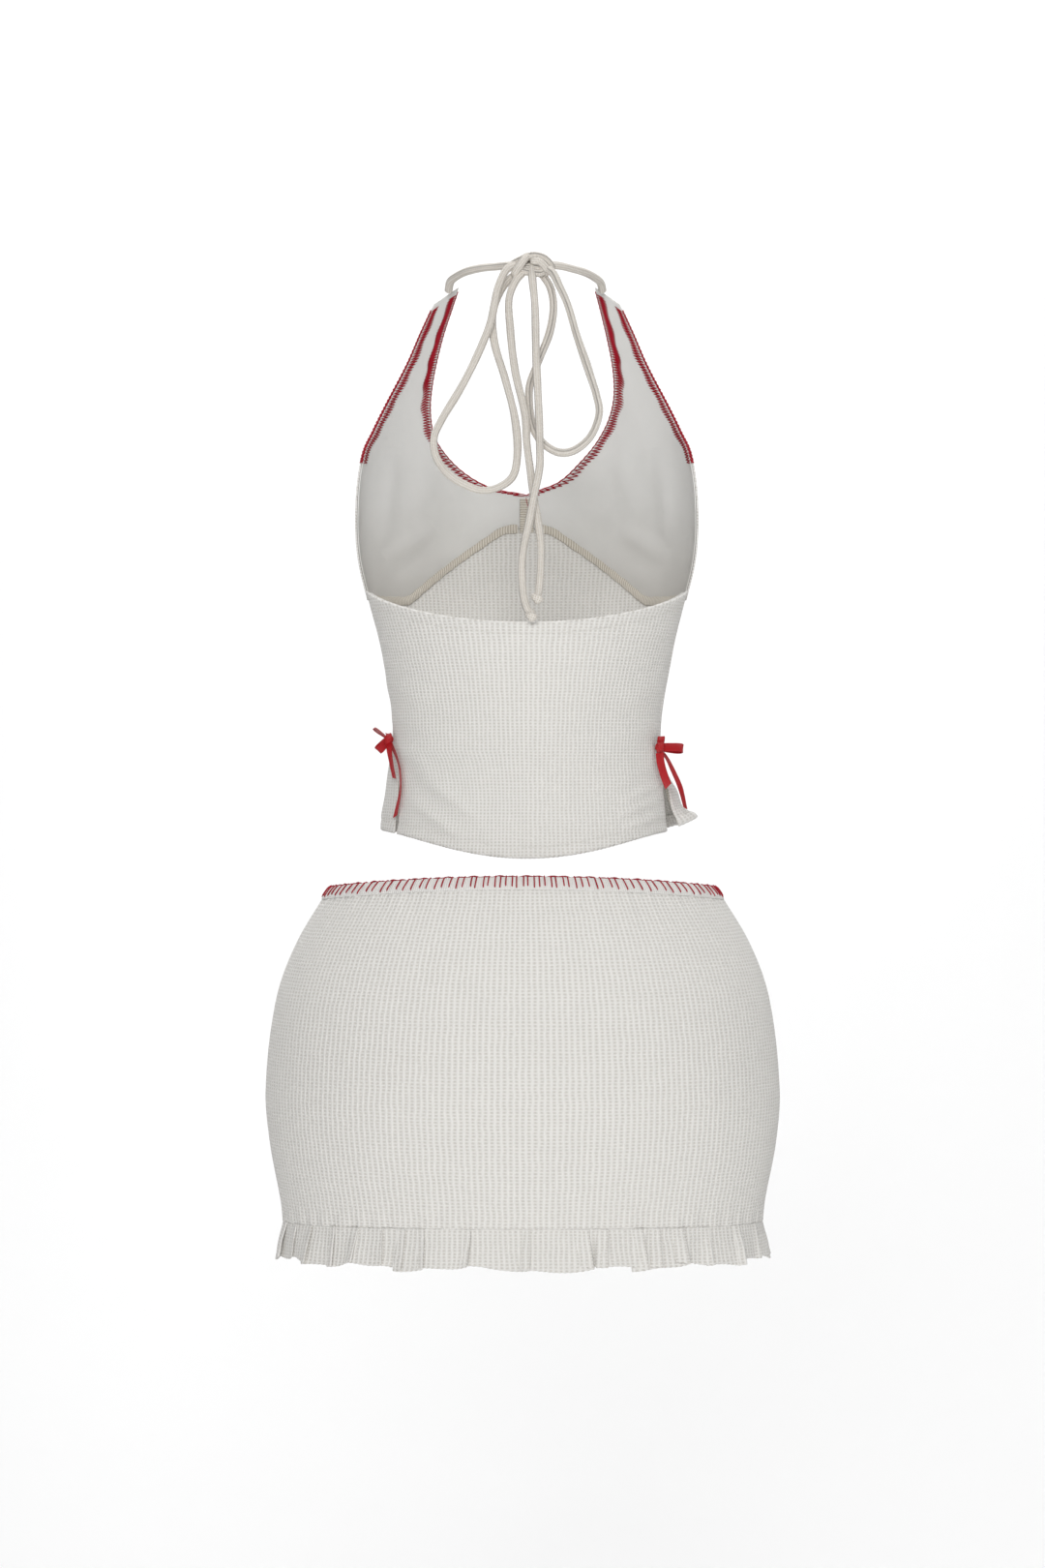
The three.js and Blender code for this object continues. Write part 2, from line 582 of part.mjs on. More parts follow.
add("halter_knot", COLOURS.cord, knot(...NECK_KNOT));
for (const [name, route, count, ...tips] of [
  ["left_halter_string", [strapTop(-1), ...NECK_ROUTES.left], 14],
  ["right_halter_string", [strapTop(1), ...NECK_ROUTES.right], 14],
  ["left_bow_loop", LEFT_LOOP, 44],
  ["right_bow_loop", RIGHT_LOOP, 36],
  ["front_tail", FRONT_TAIL, 26, frontTip],
  ["back_tail", BACK_TAIL, 24, backTip],
]) {
  add(name, COLOURS.cord, tiedInto(tube(route, CORD, 8, count), NECK_KNOT, ...tips));
}
add("front_tail_tip_knot", COLOURS.cord, knot(...frontTip));
add("back_tail_tip_knot", COLOURS.cord, knot(...backTip));

// ---- The ribbon bows at the tops of the side slits ----

const BOW_RADII = [4.6, 5.4, 6];
const RIBBON_BOWS = {
  left: {
    centre: [-119.6, -19, -12],
    upper_loop: { toward: [-9.6, 0, 7.2], wide: [0, 1, 0], bulge: 1.6 },
    lower_loop: { toward: [-7, 0, -7.4], wide: [-0.6, -0.3, 0.55], bulge: 2.6 },
    outer_tail: {
      points: [[-118.4, -28.5, -23], [-116.5, -33, -34], [-114, -37, -44]],
      wide: [0.5, -0.85, 0],
    },
    inner_tail: {
      points: [[-112, -33, -28], [-109, -41, -40], [-108.5, -44, -56], [-113, -42, -79]],
      wide: [0.5, -0.85, 0],
    },
  },
  right: {
    centre: [117.1, -31, -19],
    upper_loop: { toward: [15, 4, -1], wide: [0, 0.2, 1], bulge: 3 },
    lower_loop: { toward: [2, 3, 7], wide: [1, -0.2, 0], bulge: 2.4 },
    outer_tail: { points: [[118, -36, -33], [121, -38, -44], [125, -38, -54]], wide: [1, 0, 0.4] },
    inner_tail: {
      points: [[123, -23, -28], [129, -23, -40], [135, -23, -54], [139, -23, -72]],
      wide: [0.4, 1, 0.2],
    },
  },
};

// A loop leaves the knot, turns at its far end and comes back beside itself.
function ribbonLoop(centre, { toward, wide, bulge }) {
  const [from, reach] = [new THREE.Vector3(...centre), new THREE.Vector3(...toward)];
  const apart = new THREE.Vector3(...wide).cross(reach).normalize();
  const points = steps(12).map((step) => {
    const t = blend(0.02, 0.98, step);
    return from.clone().addScaledVector(reach, 1.35 * Math.sin(Math.PI * t) ** 0.8)
      .addScaledVector(apart, -bulge * Math.sin(2 * Math.PI * t)).toArray();
  });
  return ribbon(points, wide, 20);
}

for (const [name, bow] of Object.entries(RIBBON_BOWS)) {
  const tie = [bow.centre, BOW_RADII];
  add(`${name}_ribbon_knot`, COLOURS.ribbon, knot(...tie));
  for (const loop of ["upper_loop", "lower_loop"]) {
    add(`${name}_ribbon_${loop}`, COLOURS.ribbon, tiedInto(ribbonLoop(bow.centre, bow[loop]), tie));
  }
  for (const tail of ["outer_tail", "inner_tail"]) {
    const { points, wide } = bow[tail];
    add(`${name}_ribbon_${tail}`, COLOURS.ribbon, tiedInto(ribbon([bow.centre, ...points], wide, 16), tie));
  }
}

// ---- The skirt ----

const skirtEdge = (angle) =>
  SKIRT_TOP_SIDE + (Math.abs(angle) < 90 ? SKIRT_BACK_RISE : -SKIRT_FRONT_DROP) * cosine(angle, 1.5);
const ruffleSeam = (angle) => RUFFLE_SEAM_SIDE + RUFFLE_SEAM_RISE * cosine(angle, 1.5);
const sewnApart = THREE.MathUtils.radToDeg(SEAM_GAP / 2 / SKIRT_WAIST_HALF_WIDTH);

// Half of the skirt, at the back or the front, between its two side seams.
const halfSkirt = (isBack, u) => (isBack ? 0 : 180) + blend(-90 + sewnApart, 90 - sewnApart, u);

for (const [name, isBack] of [["back", true], ["front", false]]) {
  const panel = (u, v) => {
    const angle = halfSkirt(isBack, u);
    return [angle, blend(skirtEdge(angle), ruffleSeam(angle) + SEAM_GAP / 2, v)];
  };
  add(`skirt_${name}_panel`, COLOURS.knit, cloth(hips, panel, 0, KNIT, 28, 10));
  const casing = (u, v) => {
    const angle = halfSkirt(isBack, u);
    return [angle, skirtEdge(angle) - CASING_WIDTH * v];
  };
  add(`skirt_${name}_casing`, COLOURS.knit,
    cloth(hips, casing, -2 * GAP - ELASTIC - KNIT / 2, -2 * GAP - ELASTIC, 28, 2));
  const ruffle = (u, v) => {
    const angle = halfSkirt(isBack, u);
    return [angle, ruffleSeam(angle) - SEAM_GAP / 2 - RUFFLE_DROP * v];
  };
  const wave = (u, v) => RUFFLE_WAVE * v ** 0.7 * (1 - Math.cos(2 * Math.PI * RUFFLE_FOLDS * u)) / 2;
  const outside = (u, v) => KNIT + wave(u, v);
  add(`${name}_ruffle`, COLOURS.knit, cloth(hips, ruffle, wave, outside, 6 * RUFFLE_FOLDS, 3));
}

function skirtRing(edge, width, inner, outer, columns) {
  const place = (u, v) => {
    const angle = blend(-180, 180, u);
    return [angle, edge(angle) - width * v];
  };
  return cloth(hips, place, inner, outer, columns, 1, true);
}

add("waist_elastic", COLOURS.elastic,
  skirtRing((angle) => skirtEdge(angle) - 3, WAIST_ELASTIC_WIDTH, -GAP - ELASTIC, -GAP, 56));
add("ruffle_seam_allowance", COLOURS.seam,
  skirtRing((angle) => ruffleSeam(angle) + ALLOWANCE_WIDTH / 2, ALLOWANCE_WIDTH,
    -INSIDE - ALLOWANCE, -INSIDE, 56));

for (const { side } of Object.values(SLITS)) {
  const [low, high] = [RUFFLE_SEAM_SIDE + ALLOWANCE_WIDTH, SKIRT_TOP_SIDE - CASING_WIDTH - GAP];
  add(side < 0 ? "skirt_left_seam" : "skirt_right_seam", COLOURS.seam,
    seamStrip(hips, () => side * 90, low, high, -INSIDE - GAP / 2, 10));
}

// The red thread is whipped over the waist's edge, and this is the bead that it makes there.
const up = new THREE.Vector3(0, 0, 1);
const waistThread = steps(84).slice(0, -1).map((u) => {
  const angle = blend(-180, 180, u);
  const middle = lift(hips, angle, skirtEdge(angle), KNIT / 2);
  return [middle.addScaledVector(up, THREAD / 2 + GAP), up];
});
add("waist_edge_thread", COLOURS.red, bead(waistThread, true));

export default uniform;
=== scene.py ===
import math

import bpy
import numpy as np
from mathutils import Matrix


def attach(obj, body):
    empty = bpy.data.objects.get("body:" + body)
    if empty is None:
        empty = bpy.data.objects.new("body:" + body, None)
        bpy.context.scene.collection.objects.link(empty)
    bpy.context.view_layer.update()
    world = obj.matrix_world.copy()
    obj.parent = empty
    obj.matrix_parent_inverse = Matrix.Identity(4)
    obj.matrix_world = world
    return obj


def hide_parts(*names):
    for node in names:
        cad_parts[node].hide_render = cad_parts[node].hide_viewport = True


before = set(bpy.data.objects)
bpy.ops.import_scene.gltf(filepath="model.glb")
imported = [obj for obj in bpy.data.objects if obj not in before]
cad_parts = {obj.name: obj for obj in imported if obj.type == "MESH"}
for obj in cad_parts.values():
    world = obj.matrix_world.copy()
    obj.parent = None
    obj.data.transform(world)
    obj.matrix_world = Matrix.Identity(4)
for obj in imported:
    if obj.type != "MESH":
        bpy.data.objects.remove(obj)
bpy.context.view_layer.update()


# ---- Camera and studio ----
# The camera is level with the hem of the top and looks straight at the wearer's back. A large
# softbox above it lights both garments, in a white room with a seamless white backdrop.

scene = bpy.context.scene
camera = bpy.data.objects.new("camera", bpy.data.cameras.new("camera"))
camera.data.lens = 85
camera.data.clip_end = 60
camera.location = (-0.0026, -3.2513, -0.051)
camera.rotation_euler = (math.radians(90), 0, 0)
scene.collection.objects.link(camera)
scene.camera = camera
scene.view_settings.view_transform = "Standard"

room = bpy.data.worlds.new("white_room")
room.use_nodes = True
room.node_tree.nodes["Background"].inputs["Color"].default_value = (1, 1, 1, 1)
room.node_tree.nodes["Background"].inputs["Strength"].default_value = 0.27
scene.world = room

for name, place, size, power in (
    ("softbox_main", (-0.3, -3.6, 1.1), 1.5, 72),
    ("softbox_fill", (1.8, -3.0, -0.2), 1.6, 14),
    ("softbox_backdrop", (0, 0.9, 2.8), 2.4, 90),
):
    softbox = bpy.data.objects.new(name, bpy.data.lights.new(name, "AREA"))
    softbox.data.size = size
    softbox.data.energy = power
    softbox.location = place
    target = (0, 3, 0) if name == "softbox_backdrop" else (0, 0, -0.05)
    dx, dy, dz = (b - a for a, b in zip(place, target))
    softbox.rotation_euler = (math.atan2(math.hypot(dx, dy), -dz), 0, math.atan2(dy, dx) - math.pi / 2)
    scene.collection.objects.link(softbox)

FLOOR, WALL, SWEEP, HALF_WIDTH = -0.95, 3.0, 1.5, 7
profile = [(-HALF_WIDTH, FLOOR), (WALL - SWEEP, FLOOR)]
for a in np.linspace(0.1, math.pi / 2, 14):
    profile.append((WALL - SWEEP + SWEEP * math.sin(a), FLOOR + SWEEP - SWEEP * math.cos(a)))
profile.append((WALL, 5.0))
backdrop_mesh = bpy.data.meshes.new("backdrop")
backdrop_mesh.from_pydata(
    [(x, y, z) for y, z in profile for x in (-HALF_WIDTH, HALF_WIDTH)], [],
    [(2 * i, 2 * i + 1, 2 * i + 3, 2 * i + 2) for i in range(len(profile) - 1)])
backdrop_mesh.shade_smooth()
backdrop = bpy.data.objects.new("backdrop", backdrop_mesh)
scene.collection.objects.link(backdrop)
white_paper = bpy.data.materials.new("white_paper")
white_paper.use_nodes = True
white_paper.node_tree.nodes["Principled BSDF"].inputs["Base Color"].default_value = (0.9, 0.9, 0.9, 1)
white_paper.node_tree.nodes["Principled BSDF"].inputs["Roughness"].default_value = 0.9
paper_nodes, paper_links = white_paper.node_tree.nodes, white_paper.node_tree.links
one_sided = paper_nodes.new("ShaderNodeMixShader")  # clear from behind, so the wearer's front can be seen
paper_links.new(paper_nodes.new("ShaderNodeNewGeometry").outputs["Backfacing"], one_sided.inputs["Fac"])
paper_links.new(paper_nodes["Principled BSDF"].outputs[0], one_sided.inputs[1])
paper_links.new(paper_nodes.new("ShaderNodeBsdfTransparent").outputs[0], one_sided.inputs[2])
paper_links.new(one_sided.outputs[0], paper_nodes["Material Output"].inputs["Surface"])
backdrop_mesh.materials.append(white_paper)


# ---- Halter strings and bow ----
# Two soft tubes of cream knit, one from each strap. They cross behind the neck in a knot and each
# goes on into one loop and one tail of the bow. They are knitted round, so rings run across them.
# All sizes from here on are in millimetres until a mesh is made.

MM = 0.001
CORD = 6.6
NECK_KNOT = (5, -66, 394)
NECK_STRINGS = {
    "left": [(-68, 12, 383), (-66, 0, 390), (-60, -14, 393), (-51, -30, 395), (-38, -44, 396),
             (-26, -52, 396), (-14, -59, 396), (0, -64, 395)],
    "right": [(68, 12, 383), (66, 0, 389), (60, -15, 392), (51, -32, 394), (40, -47, 395), (30, -57, 396),
              (20, -63, 396), (8, -66, 395)],
}
LEFT_LOOP = [
    (0, -69, 396), (-8, -70, 395), (-15, -72, 392), (-23, -76, 377), (-30, -83, 344), (-41, -85, 316),
    (-55, -87, 288), (-72, -91, 259), (-78, -93, 245), (-77, -95, 230), (-68, -97, 215),
    (-54, -99, 205), (-37, -100, 199), (-22, -99, 202), (-11, -97, 211), (-7, -94, 230), (-9, -88, 260),
    (-17, -82, 294), (-27, -76, 329), (-28, -72, 353), (-21, -67, 374), (-11, -64, 386), (0, -63, 391),
]
RIGHT_LOOP = [
    (10, -69, 394), (22, -73, 389), (29, -77, 376), (36, -79, 360), (44, -80, 333), (54, -83, 303),
    (61, -86, 280), (63, -88, 266), (55, -91, 245), (40, -93, 233), (28, -93, 232), (16, -91, 239),
    (7, -88, 252), (3, -84, 278), (4, -81, 292), (13, -77, 316), (21, -73, 338), (24, -69, 360),
    (21, -65, 377), (13, -63, 389), (8, -65, 394),
]
FRONT_TAIL = [
    (5, -70, 394), (6, -77, 381), (8, -84, 359), (9, -90, 316), (11, -97, 272), (12, -101, 240),
    (12, -104, 219), (7, -107, 193), (3, -108, 172), (-1, -105, 153), (-3, -102, 138), (-3, -101, 124),
    (-2, -101, 110),
    (1, -101, 99), (3.5, -101, 95),
]
BACK_TAIL = [
    (1, -69, 392), (-4, -70, 387), (-8, -72, 382), (-14, -75, 366), (-13, -78, 338), (-9, -83, 303),
    (0, -91, 262), (1, -94, 241),
    (4, -97, 217), (7, -100, 193), (11, -101, 170), (13, -101, 154), (13, -101, 137), (12, -101, 121),
    (11, -101, 110),
]


def lerp(a, b, t):
    return a + (b - a) * t


def unit(vectors):
    return vectors / np.maximum(np.linalg.norm(vectors, axis=-1, keepdims=True), 1e-9)


def run_along(points):
    """The distance from the first point to each one, along the line through them."""
    return np.concatenate([[0], np.cumsum(np.linalg.norm(np.diff(points, axis=0), axis=1))])


def length_of(points):
    return float(np.linalg.norm(np.diff(points, axis=0), axis=1).sum())


def spread(points, step):
    """Points about that far apart on a smooth curve through the given ones."""
    p = np.array(points, float)
    p = np.vstack([2 * p[0] - p[1], p, 2 * p[-1] - p[-2]])
    knots = np.concatenate([[0], np.cumsum(np.linalg.norm(np.diff(p, axis=0), axis=1) ** 0.5)])
    fine = []
    for i in range(1, len(p) - 2):
        t = np.linspace(knots[i], knots[i + 1], 30, endpoint=False)[:, None]
        k0, k1, k2, k3 = knots[i - 1:i + 3]
        a = [lerp(p[j], p[j + 1], (t - knots[j]) / (knots[j + 1] - knots[j])) for j in (i - 1, i, i + 1)]
        b = [lerp(a[0], a[1], (t - k0) / (k2 - k0)), lerp(a[1], a[2], (t - k1) / (k3 - k1))]
        fine.append(lerp(b[0], b[1], (t - k1) / (k2 - k1)))
    fine = np.vstack([*fine, p[-2][None]])
    along = run_along(fine)
    wanted = np.linspace(0, along[-1], max(6, int(along[-1] / step)))
    return np.column_stack([np.interp(wanted, along, fine[:, k]) for k in range(3)])


def tube(path, diameter, around=12, relief=None, dome=0.5):
    """A round tube with domed ends, as (points, faces, cells). relief(along, turn) raises its surface."""
    tangent = unit(np.gradient(path, axis=0))
    helper = (0, 0, 1.0) if abs(tangent[0][2]) < 0.9 else (0, 1.0, 0)
    side = [unit(np.cross(tangent[0], helper))]
    for t in tangent[1:]:
        side.append(unit(side[-1] - t * np.dot(side[-1], t)))
    side = np.array(side)
    other = np.cross(tangent, side)
    along = run_along(path)
    s, turn = np.meshgrid(along, np.arange(around) / around, indexing="ij")
    from_end = np.clip(np.minimum(s, along[-1] - s) / (diameter * dome), 0, 1)
    radius = diameter / 2 * np.sqrt(np.clip(1 - (1 - from_end) ** 2, 0.05, 1))
    if relief is not None:
        radius = radius + relief(s, turn)
    a = 2 * math.pi * turn[..., None]
    rings = path[:, None] + radius[..., None] * (side[:, None] * np.cos(a) + other[:, None] * np.sin(a))
    index = np.arange(rings.shape[0] * around).reshape(-1, around)
    following = np.roll(index, -1, axis=1)
    faces = np.stack([index[:-1], following[:-1], following[1:], index[1:]], -1).reshape(-1, 4).tolist()
    faces += [index[0][::-1].tolist(), index[-1].tolist()]
    return rings.reshape(-1, 3), faces, np.stack([turn, s], -1).reshape(-1, 2)


def piece(name, shells, material, body, slot, *cad_nodes):
    """One object of closed shells, each (points in mm, faces, cells), riding on that body."""
    points, faces, cells = [], [], []
    start = 0
    for p, f, c in shells:
        corners = np.array([face[:3] for face in f])
        a, b, d = p[corners[:, 0]], p[corners[:, 1]], p[corners[:, 2]]
        inward = np.einsum("ij,ij->", a - p.mean(0), np.cross(b - p.mean(0), d - p.mean(0))) < 0
        faces += [[start + i for i in (face[::-1] if inward else face)] for face in f]
        points.append(p)
        cells.append(c)
        start += len(p)
    mesh = bpy.data.meshes.new(name)
    mesh.from_pydata((np.vstack(points) * MM).tolist(), [], faces)
    corners = np.empty(len(mesh.loops), int)
    mesh.loops.foreach_get("vertex_index", corners)
    mesh.uv_layers.new(name="cells").data.foreach_set("uv", np.vstack(cells)[corners].ravel())
    mesh.shade_smooth()
    mesh.materials.append(material)
    made = bpy.data.objects.new(name, mesh)
    scene.collection.objects.link(made)
    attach(made, body)
    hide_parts(*cad_nodes)
    return made


def add_socket(group, direction, name, kind="Float", value=None):
    made = group.interface.new_socket(name=name, in_out=direction, socket_type="NodeSocket" + kind)
    if value is not None:
        made.default_value = value


def shader(tree, kind, *values, output=0, **settings):
    """Adds a shader node with its inputs in order, as values or as other nodes' outputs."""
    made = tree.nodes.new("ShaderNode" + kind)
    for key, value in settings.items():
        setattr(made, key, value)
    for socket, value in zip(made.inputs, values):
        if isinstance(value, bpy.types.NodeSocket):
            tree.links.new(value, socket)
        elif value is not None:
            socket.default_value = value
    return made.outputs[output]


def maths(tree, operation, *values):
    return shader(tree, "Math", *values, operation=operation)


def cell_counts(tree):
    """The two counts of a piece's cells, which a material reads."""
    parts = tree.nodes.new("ShaderNodeSeparateXYZ")
    tree.links.new(shader(tree, "UVMap", uv_map="cells"), parts.inputs[0])
    return parts.outputs[0], parts.outputs[1]


# Spun yarn: patches a little lighter and darker, and a fine grain of loose fibres for the bump.
yarn = bpy.data.node_groups.new("yarn", "ShaderNodeTree")
add_socket(yarn, "INPUT", "Colour", "Color", (0.8, 0.8, 0.8, 1))
add_socket(yarn, "INPUT", "Patches", value=0.06)
add_socket(yarn, "OUTPUT", "Colour", "Color")
add_socket(yarn, "OUTPUT", "Grain")
given, out = yarn.nodes.new("NodeGroupInput"), yarn.nodes.new("NodeGroupOutput")
where = shader(yarn, "TexCoord", output="Object")
patches = shader(yarn, "TexNoise", where, None, 55.0, 4.0, 0.65)
tint = maths(yarn, "MULTIPLY_ADD", maths(yarn, "SUBTRACT", patches, 0.5), given.outputs["Patches"], 1.0)
spun = yarn.nodes.new("ShaderNodeVectorMath")
spun.operation = "SCALE"
yarn.links.new(given.outputs["Colour"], spun.inputs[0])
yarn.links.new(tint, spun.inputs["Scale"])
yarn.links.new(spun.outputs[0], out.inputs["Colour"])
yarn.links.new(shader(yarn, "TexNoise", where, None, 2400.0, 2.0, 0.7), out.inputs["Grain"])


def cloth_material(name, roughness, sheen, specular=0.25):
    made = bpy.data.materials.new(name)
    made.use_nodes = True
    surface = made.node_tree.nodes["Principled BSDF"]
    surface.inputs["Roughness"].default_value = roughness
    surface.inputs["Sheen Weight"].default_value = sheen
    surface.inputs["Sheen Roughness"].default_value = 0.5
    surface.inputs["Specular IOR Level"].default_value = specular
    return made, made.node_tree, surface


def finish_yarn(tree, surface, colour, height, bump, patches=0.06):
    """Gives a material its colour and bump through the yarn group. bump is the depth in metres."""
    spun = tree.nodes.new("ShaderNodeGroup")
    spun.node_tree = yarn
    spun.inputs["Patches"].default_value = patches
    if isinstance(colour, bpy.types.NodeSocket):
        tree.links.new(colour, spun.inputs["Colour"])
    else:
        spun.inputs["Colour"].default_value = (*colour, 1)
    tree.links.new(spun.outputs["Colour"], surface.inputs["Base Color"])
    raised = maths(tree, "MULTIPLY_ADD", spun.outputs["Grain"], 0.35, height)
    normal = shader(tree, "Bump")
    bumper = normal.node
    bumper.inputs["Distance"].default_value = bump
    tree.links.new(raised, bumper.inputs["Height"])
    tree.links.new(normal, surface.inputs["Normal"])


knit_cord, tree, surface = cloth_material("knit_cord", 0.9, 0.2)
around, along = cell_counts(tree)
wales = maths(tree, "COSINE", maths(tree, "MULTIPLY", around, 2 * math.pi * 9))
bowed = maths(tree, "MULTIPLY_ADD", along, 2 * math.pi / 1.1, maths(tree, "ABSOLUTE", wales))
courses = maths(tree, "COSINE", bowed)
loops = maths(tree, "ADD", wales, courses)
# Painted shade: a darker brown is mixed into the hollows between the loops.
hollow = shader(tree, "MapRange", loops, -2.0, 0.3, 1.0, 0.0)
colour = shader(tree, "MixRGB", hollow, (0.79, 0.755, 0.70, 1), (0.56, 0.49, 0.41, 1))
finish_yarn(tree, surface, colour, loops, 0.00014, 0.16)


def cord_relief(along, turn):
    """Slack rings of loops, a little uneven, over soft ribs that wind round the tube."""
    rings = np.cos(2 * math.pi * (along / 2.5 + 0.16 * np.sin(along * 0.19) + 0.45 * turn))
    ribs = np.cos(2 * math.pi * (4 * turn + along / 80))
    slack = np.sin(along * 0.061 + 1.3) + np.sin(along * 0.143)
    return 0.15 * rings + 0.14 * ribs + 0.09 * slack


def cord_piece(name, points, body, cad_node, **facts):
    path = spread(points, 0.6)
    made = piece(name, [tube(path, CORD, 20, cord_relief, 0.3)], knit_cord, body, "knit_cord", cad_node)
    (spread(points, 3) * MM).tolist()


def knot_piece(name, strands, body, cad_node, diameter):
    """The crossing strands of a pulled knot, each a short piece of the string."""
    shells = [tube(spread(strand, 0.6), diameter, 18, cord_relief) for strand in strands]
    return piece(name, shells, knit_cord, body, "knit_cord", cad_node)


def tip_strands(x, y, z):
    """A single knot in the end of a string: one turn round itself, and the cut end below it."""
    turn = np.linspace(0, 1, 14)
    coil = np.stack([x + 2.2 * np.cos(7.2 * turn), y + 1.9 * np.sin(7.2 * turn), z + 3.2 - 4.6 * turn], -1)
    return [coil, [(x, y, z + 6), (x + 0.4, y - 0.8, z), (x - 0.6, y, z - 5)]]


KNOT_STRANDS = [  # each from the middle of the knot
    [(-18, 2, 1), (-10, -4, 5), (1, -5, 9), (11, -3, 7), (19, 1, -1)],
    [(-11, 5, -8), (-14, -5, -6), (-9, -9, 1), (-4, -6, 8), (-3, 4, 7), (-6, 7, 0)],
    [(-16, -1, -4), (-5, -3, -1), (6, -4, -1), (17, -2, -4)],
    [(-4, 4, 2), (6, 5, 3), (16, 4, 1)],
    [(12, 3, -6), (13, -5, -3), (7, -8, 3), (-1, -7, 4)],
    [(-12, -2, -2), (-3, -6, -5), (7, -5, -6), (12, -1, -3)],
]
knot_piece("neck_knot", [np.array(strand) + NECK_KNOT for strand in KNOT_STRANDS], "top", "halter_knot", CORD)
front_tip = knot_piece("front_tail_tip", tip_strands(5, -101, 92), "front_tail", "front_tail_tip_knot", 6.2)
back_tip = knot_piece("back_tail_tip", tip_strands(10, -101, 107), "halter_bow", "back_tail_tip_knot", 6.2)
for name, points in NECK_STRINGS.items():
    cord_piece(f"{name}_neck_string", points, "top", f"{name}_halter_string", far_end="object", lay="taut")
cord_piece("left_loop_cord", LEFT_LOOP, "left_loop", "left_bow_loop", far_end="object", lay="hanging")
cord_piece("right_loop_cord", RIGHT_LOOP, "halter_bow", "right_bow_loop", far_end="object", lay="hanging")
cord_piece("front_tail_cord", FRONT_TAIL, "front_tail", "front_tail", far_end="knot", lay="hanging",
           with_pieces=[front_tip])
cord_piece("back_tail_cord", BACK_TAIL, "halter_bow", "back_tail", far_end="knot", lay="hanging",
           with_pieces=[back_tip])


# ---- The top's back panel ----
# A wide band of cream waffle knit, sewn to the front panel at the sides. Its upper edge is turned in
# over an elastic and stitched, and its lower hem is turned up and stitched.

KNIT = 1.6
LEFT_SLIT = {"side": -1, "back": 63, "front": 66.5, "flare": 2}
RIGHT_SLIT = {"side": 1, "back": 75, "front": 79, "flare": 21}
SLIT_TOP = -22
TOP_HEM_SIDE, TOP_HEM_DIP = -91.5, 22.3  # the hem's level at the sides, and how much lower its middles are
BACK_EDGE_SIDE, BACK_EDGE_DIP = 118, 31.5  # the same for the panel's upper edge
BACK_HEIGHT, STITCHED_IN = 205, 9.2  # the panel's height, and the stitching's distance from a folded edge
TOP_SHIFT = 1.2  # the top hangs this far to the right
BUST_FULLNESS = 30


def line(*points):
    """A smooth line through (level, size) points, as a function of the level."""
    at, size = np.array(points, float).T
    slope = np.empty_like(at)
    slope[1:-1] = (size[2:] - size[:-2]) / (at[2:] - at[:-2])
    slope[0] = (size[1] - size[0]) / (at[1] - at[0])
    slope[-1] = (size[-1] - size[-2]) / (at[-1] - at[-2])

    def at_level(level):
        level = np.asarray(level, float)
        i = np.clip(np.searchsorted(at, level) - 1, 0, len(at) - 2)
        h = at[i + 1] - at[i]
        t = np.clip((level - at[i]) / h, 0, 1)
        inside = ((2 * t**3 - 3 * t**2 + 1) * size[i] + (t**3 - 2 * t**2 + t) * h * slope[i]
                  + (3 * t**2 - 2 * t**3) * size[i + 1] + (t**3 - t**2) * h * slope[i + 1])
        return inside + slope[0] * np.minimum(level - at[0], 0) + slope[-1] * np.maximum(level - at[-1], 0)
    return at_level


torso_width = line((-113.8, 127.5), (-60, 121.5), (0, 116.2), (60, 124.75), (110, 137.3), (145, 145.5),
                   (177, 148), (235, 146), (300, 142), (395, 123))
torso_back = line((-113, 90), (-60, 86), (0, 82), (60, 88), (110, 93), (177, 98), (395, 60))
torso_front = line((-113, 96), (-60, 92), (0, 86), (60, 88), (110, 92), (175, 98), (230, 93), (300, 73),
                   (350, 45), (395, 14))


def share(low, high, value):
    return np.clip((value - low) / (high - low), 0, 1)


def cosine(angle, power):
    return np.abs(np.cos(np.radians(angle))) ** power


def skin_at(width, back, front, bulge, angle, level):
    """The wearer's skin, as a point for each angle from the middle of the back and each level."""
    s, c = np.sin(np.radians(angle)), np.cos(np.radians(angle))
    x = width(level) * s
    y = np.where(c > 0, -back(level) * c, -front(level) * c + bulge(x, level) * np.sqrt(np.maximum(-c, 0)))
    return np.stack([x, y, level + 0 * x], -1)


def torso(angle, level):
    def bust(x, z):
        return BUST_FULLNESS * np.exp(-(((np.hypot(x, 14) - 72) / 44) ** 2) - ((z - 165) / 48) ** 2)
    point = skin_at(torso_width, torso_back, torso_front, bust, angle, level)
    point[..., 0] += TOP_SHIFT
    return point


def lift(skin, angle, level, distance):
    """Points moved out from a skin along its normal."""
    along = skin(angle + 0.4, level) - skin(angle - 0.4, level)
    rise = skin(angle, level + 0.4) - skin(angle, level - 0.4)
    return skin(angle, level) + unit(np.cross(along, rise)) * np.asarray(distance)[..., None]


def top_hem(angle):
    return TOP_HEM_SIDE - TOP_HEM_DIP * cosine(angle, 3)


def side_angle(slit_edge, level):
    """The angle of a panel's side edge: the side seam above the slit, and its own edge below."""
    seam = lerp(79, 90, share(SLIT_TOP, BACK_EDGE_SIDE, level))
    return lerp(seam, slit_edge, 1 - share(TOP_HEM_SIDE, SLIT_TOP, level) ** 3)


def on_back(u, v):
    """Angle and level on the back panel, from the left side seam to the right and from the top down."""
    s = 2 * u - 1
    angle = s * 85
    for _ in range(5):
        level = lerp(BACK_EDGE_SIDE - BACK_EDGE_DIP * cosine(angle, 1.3), top_hem(angle), v)
        angle = s * (side_angle(np.where(s < 0, LEFT_SLIT["back"], RIGHT_SLIT["back"]), level) - 0.14)
    return angle, level


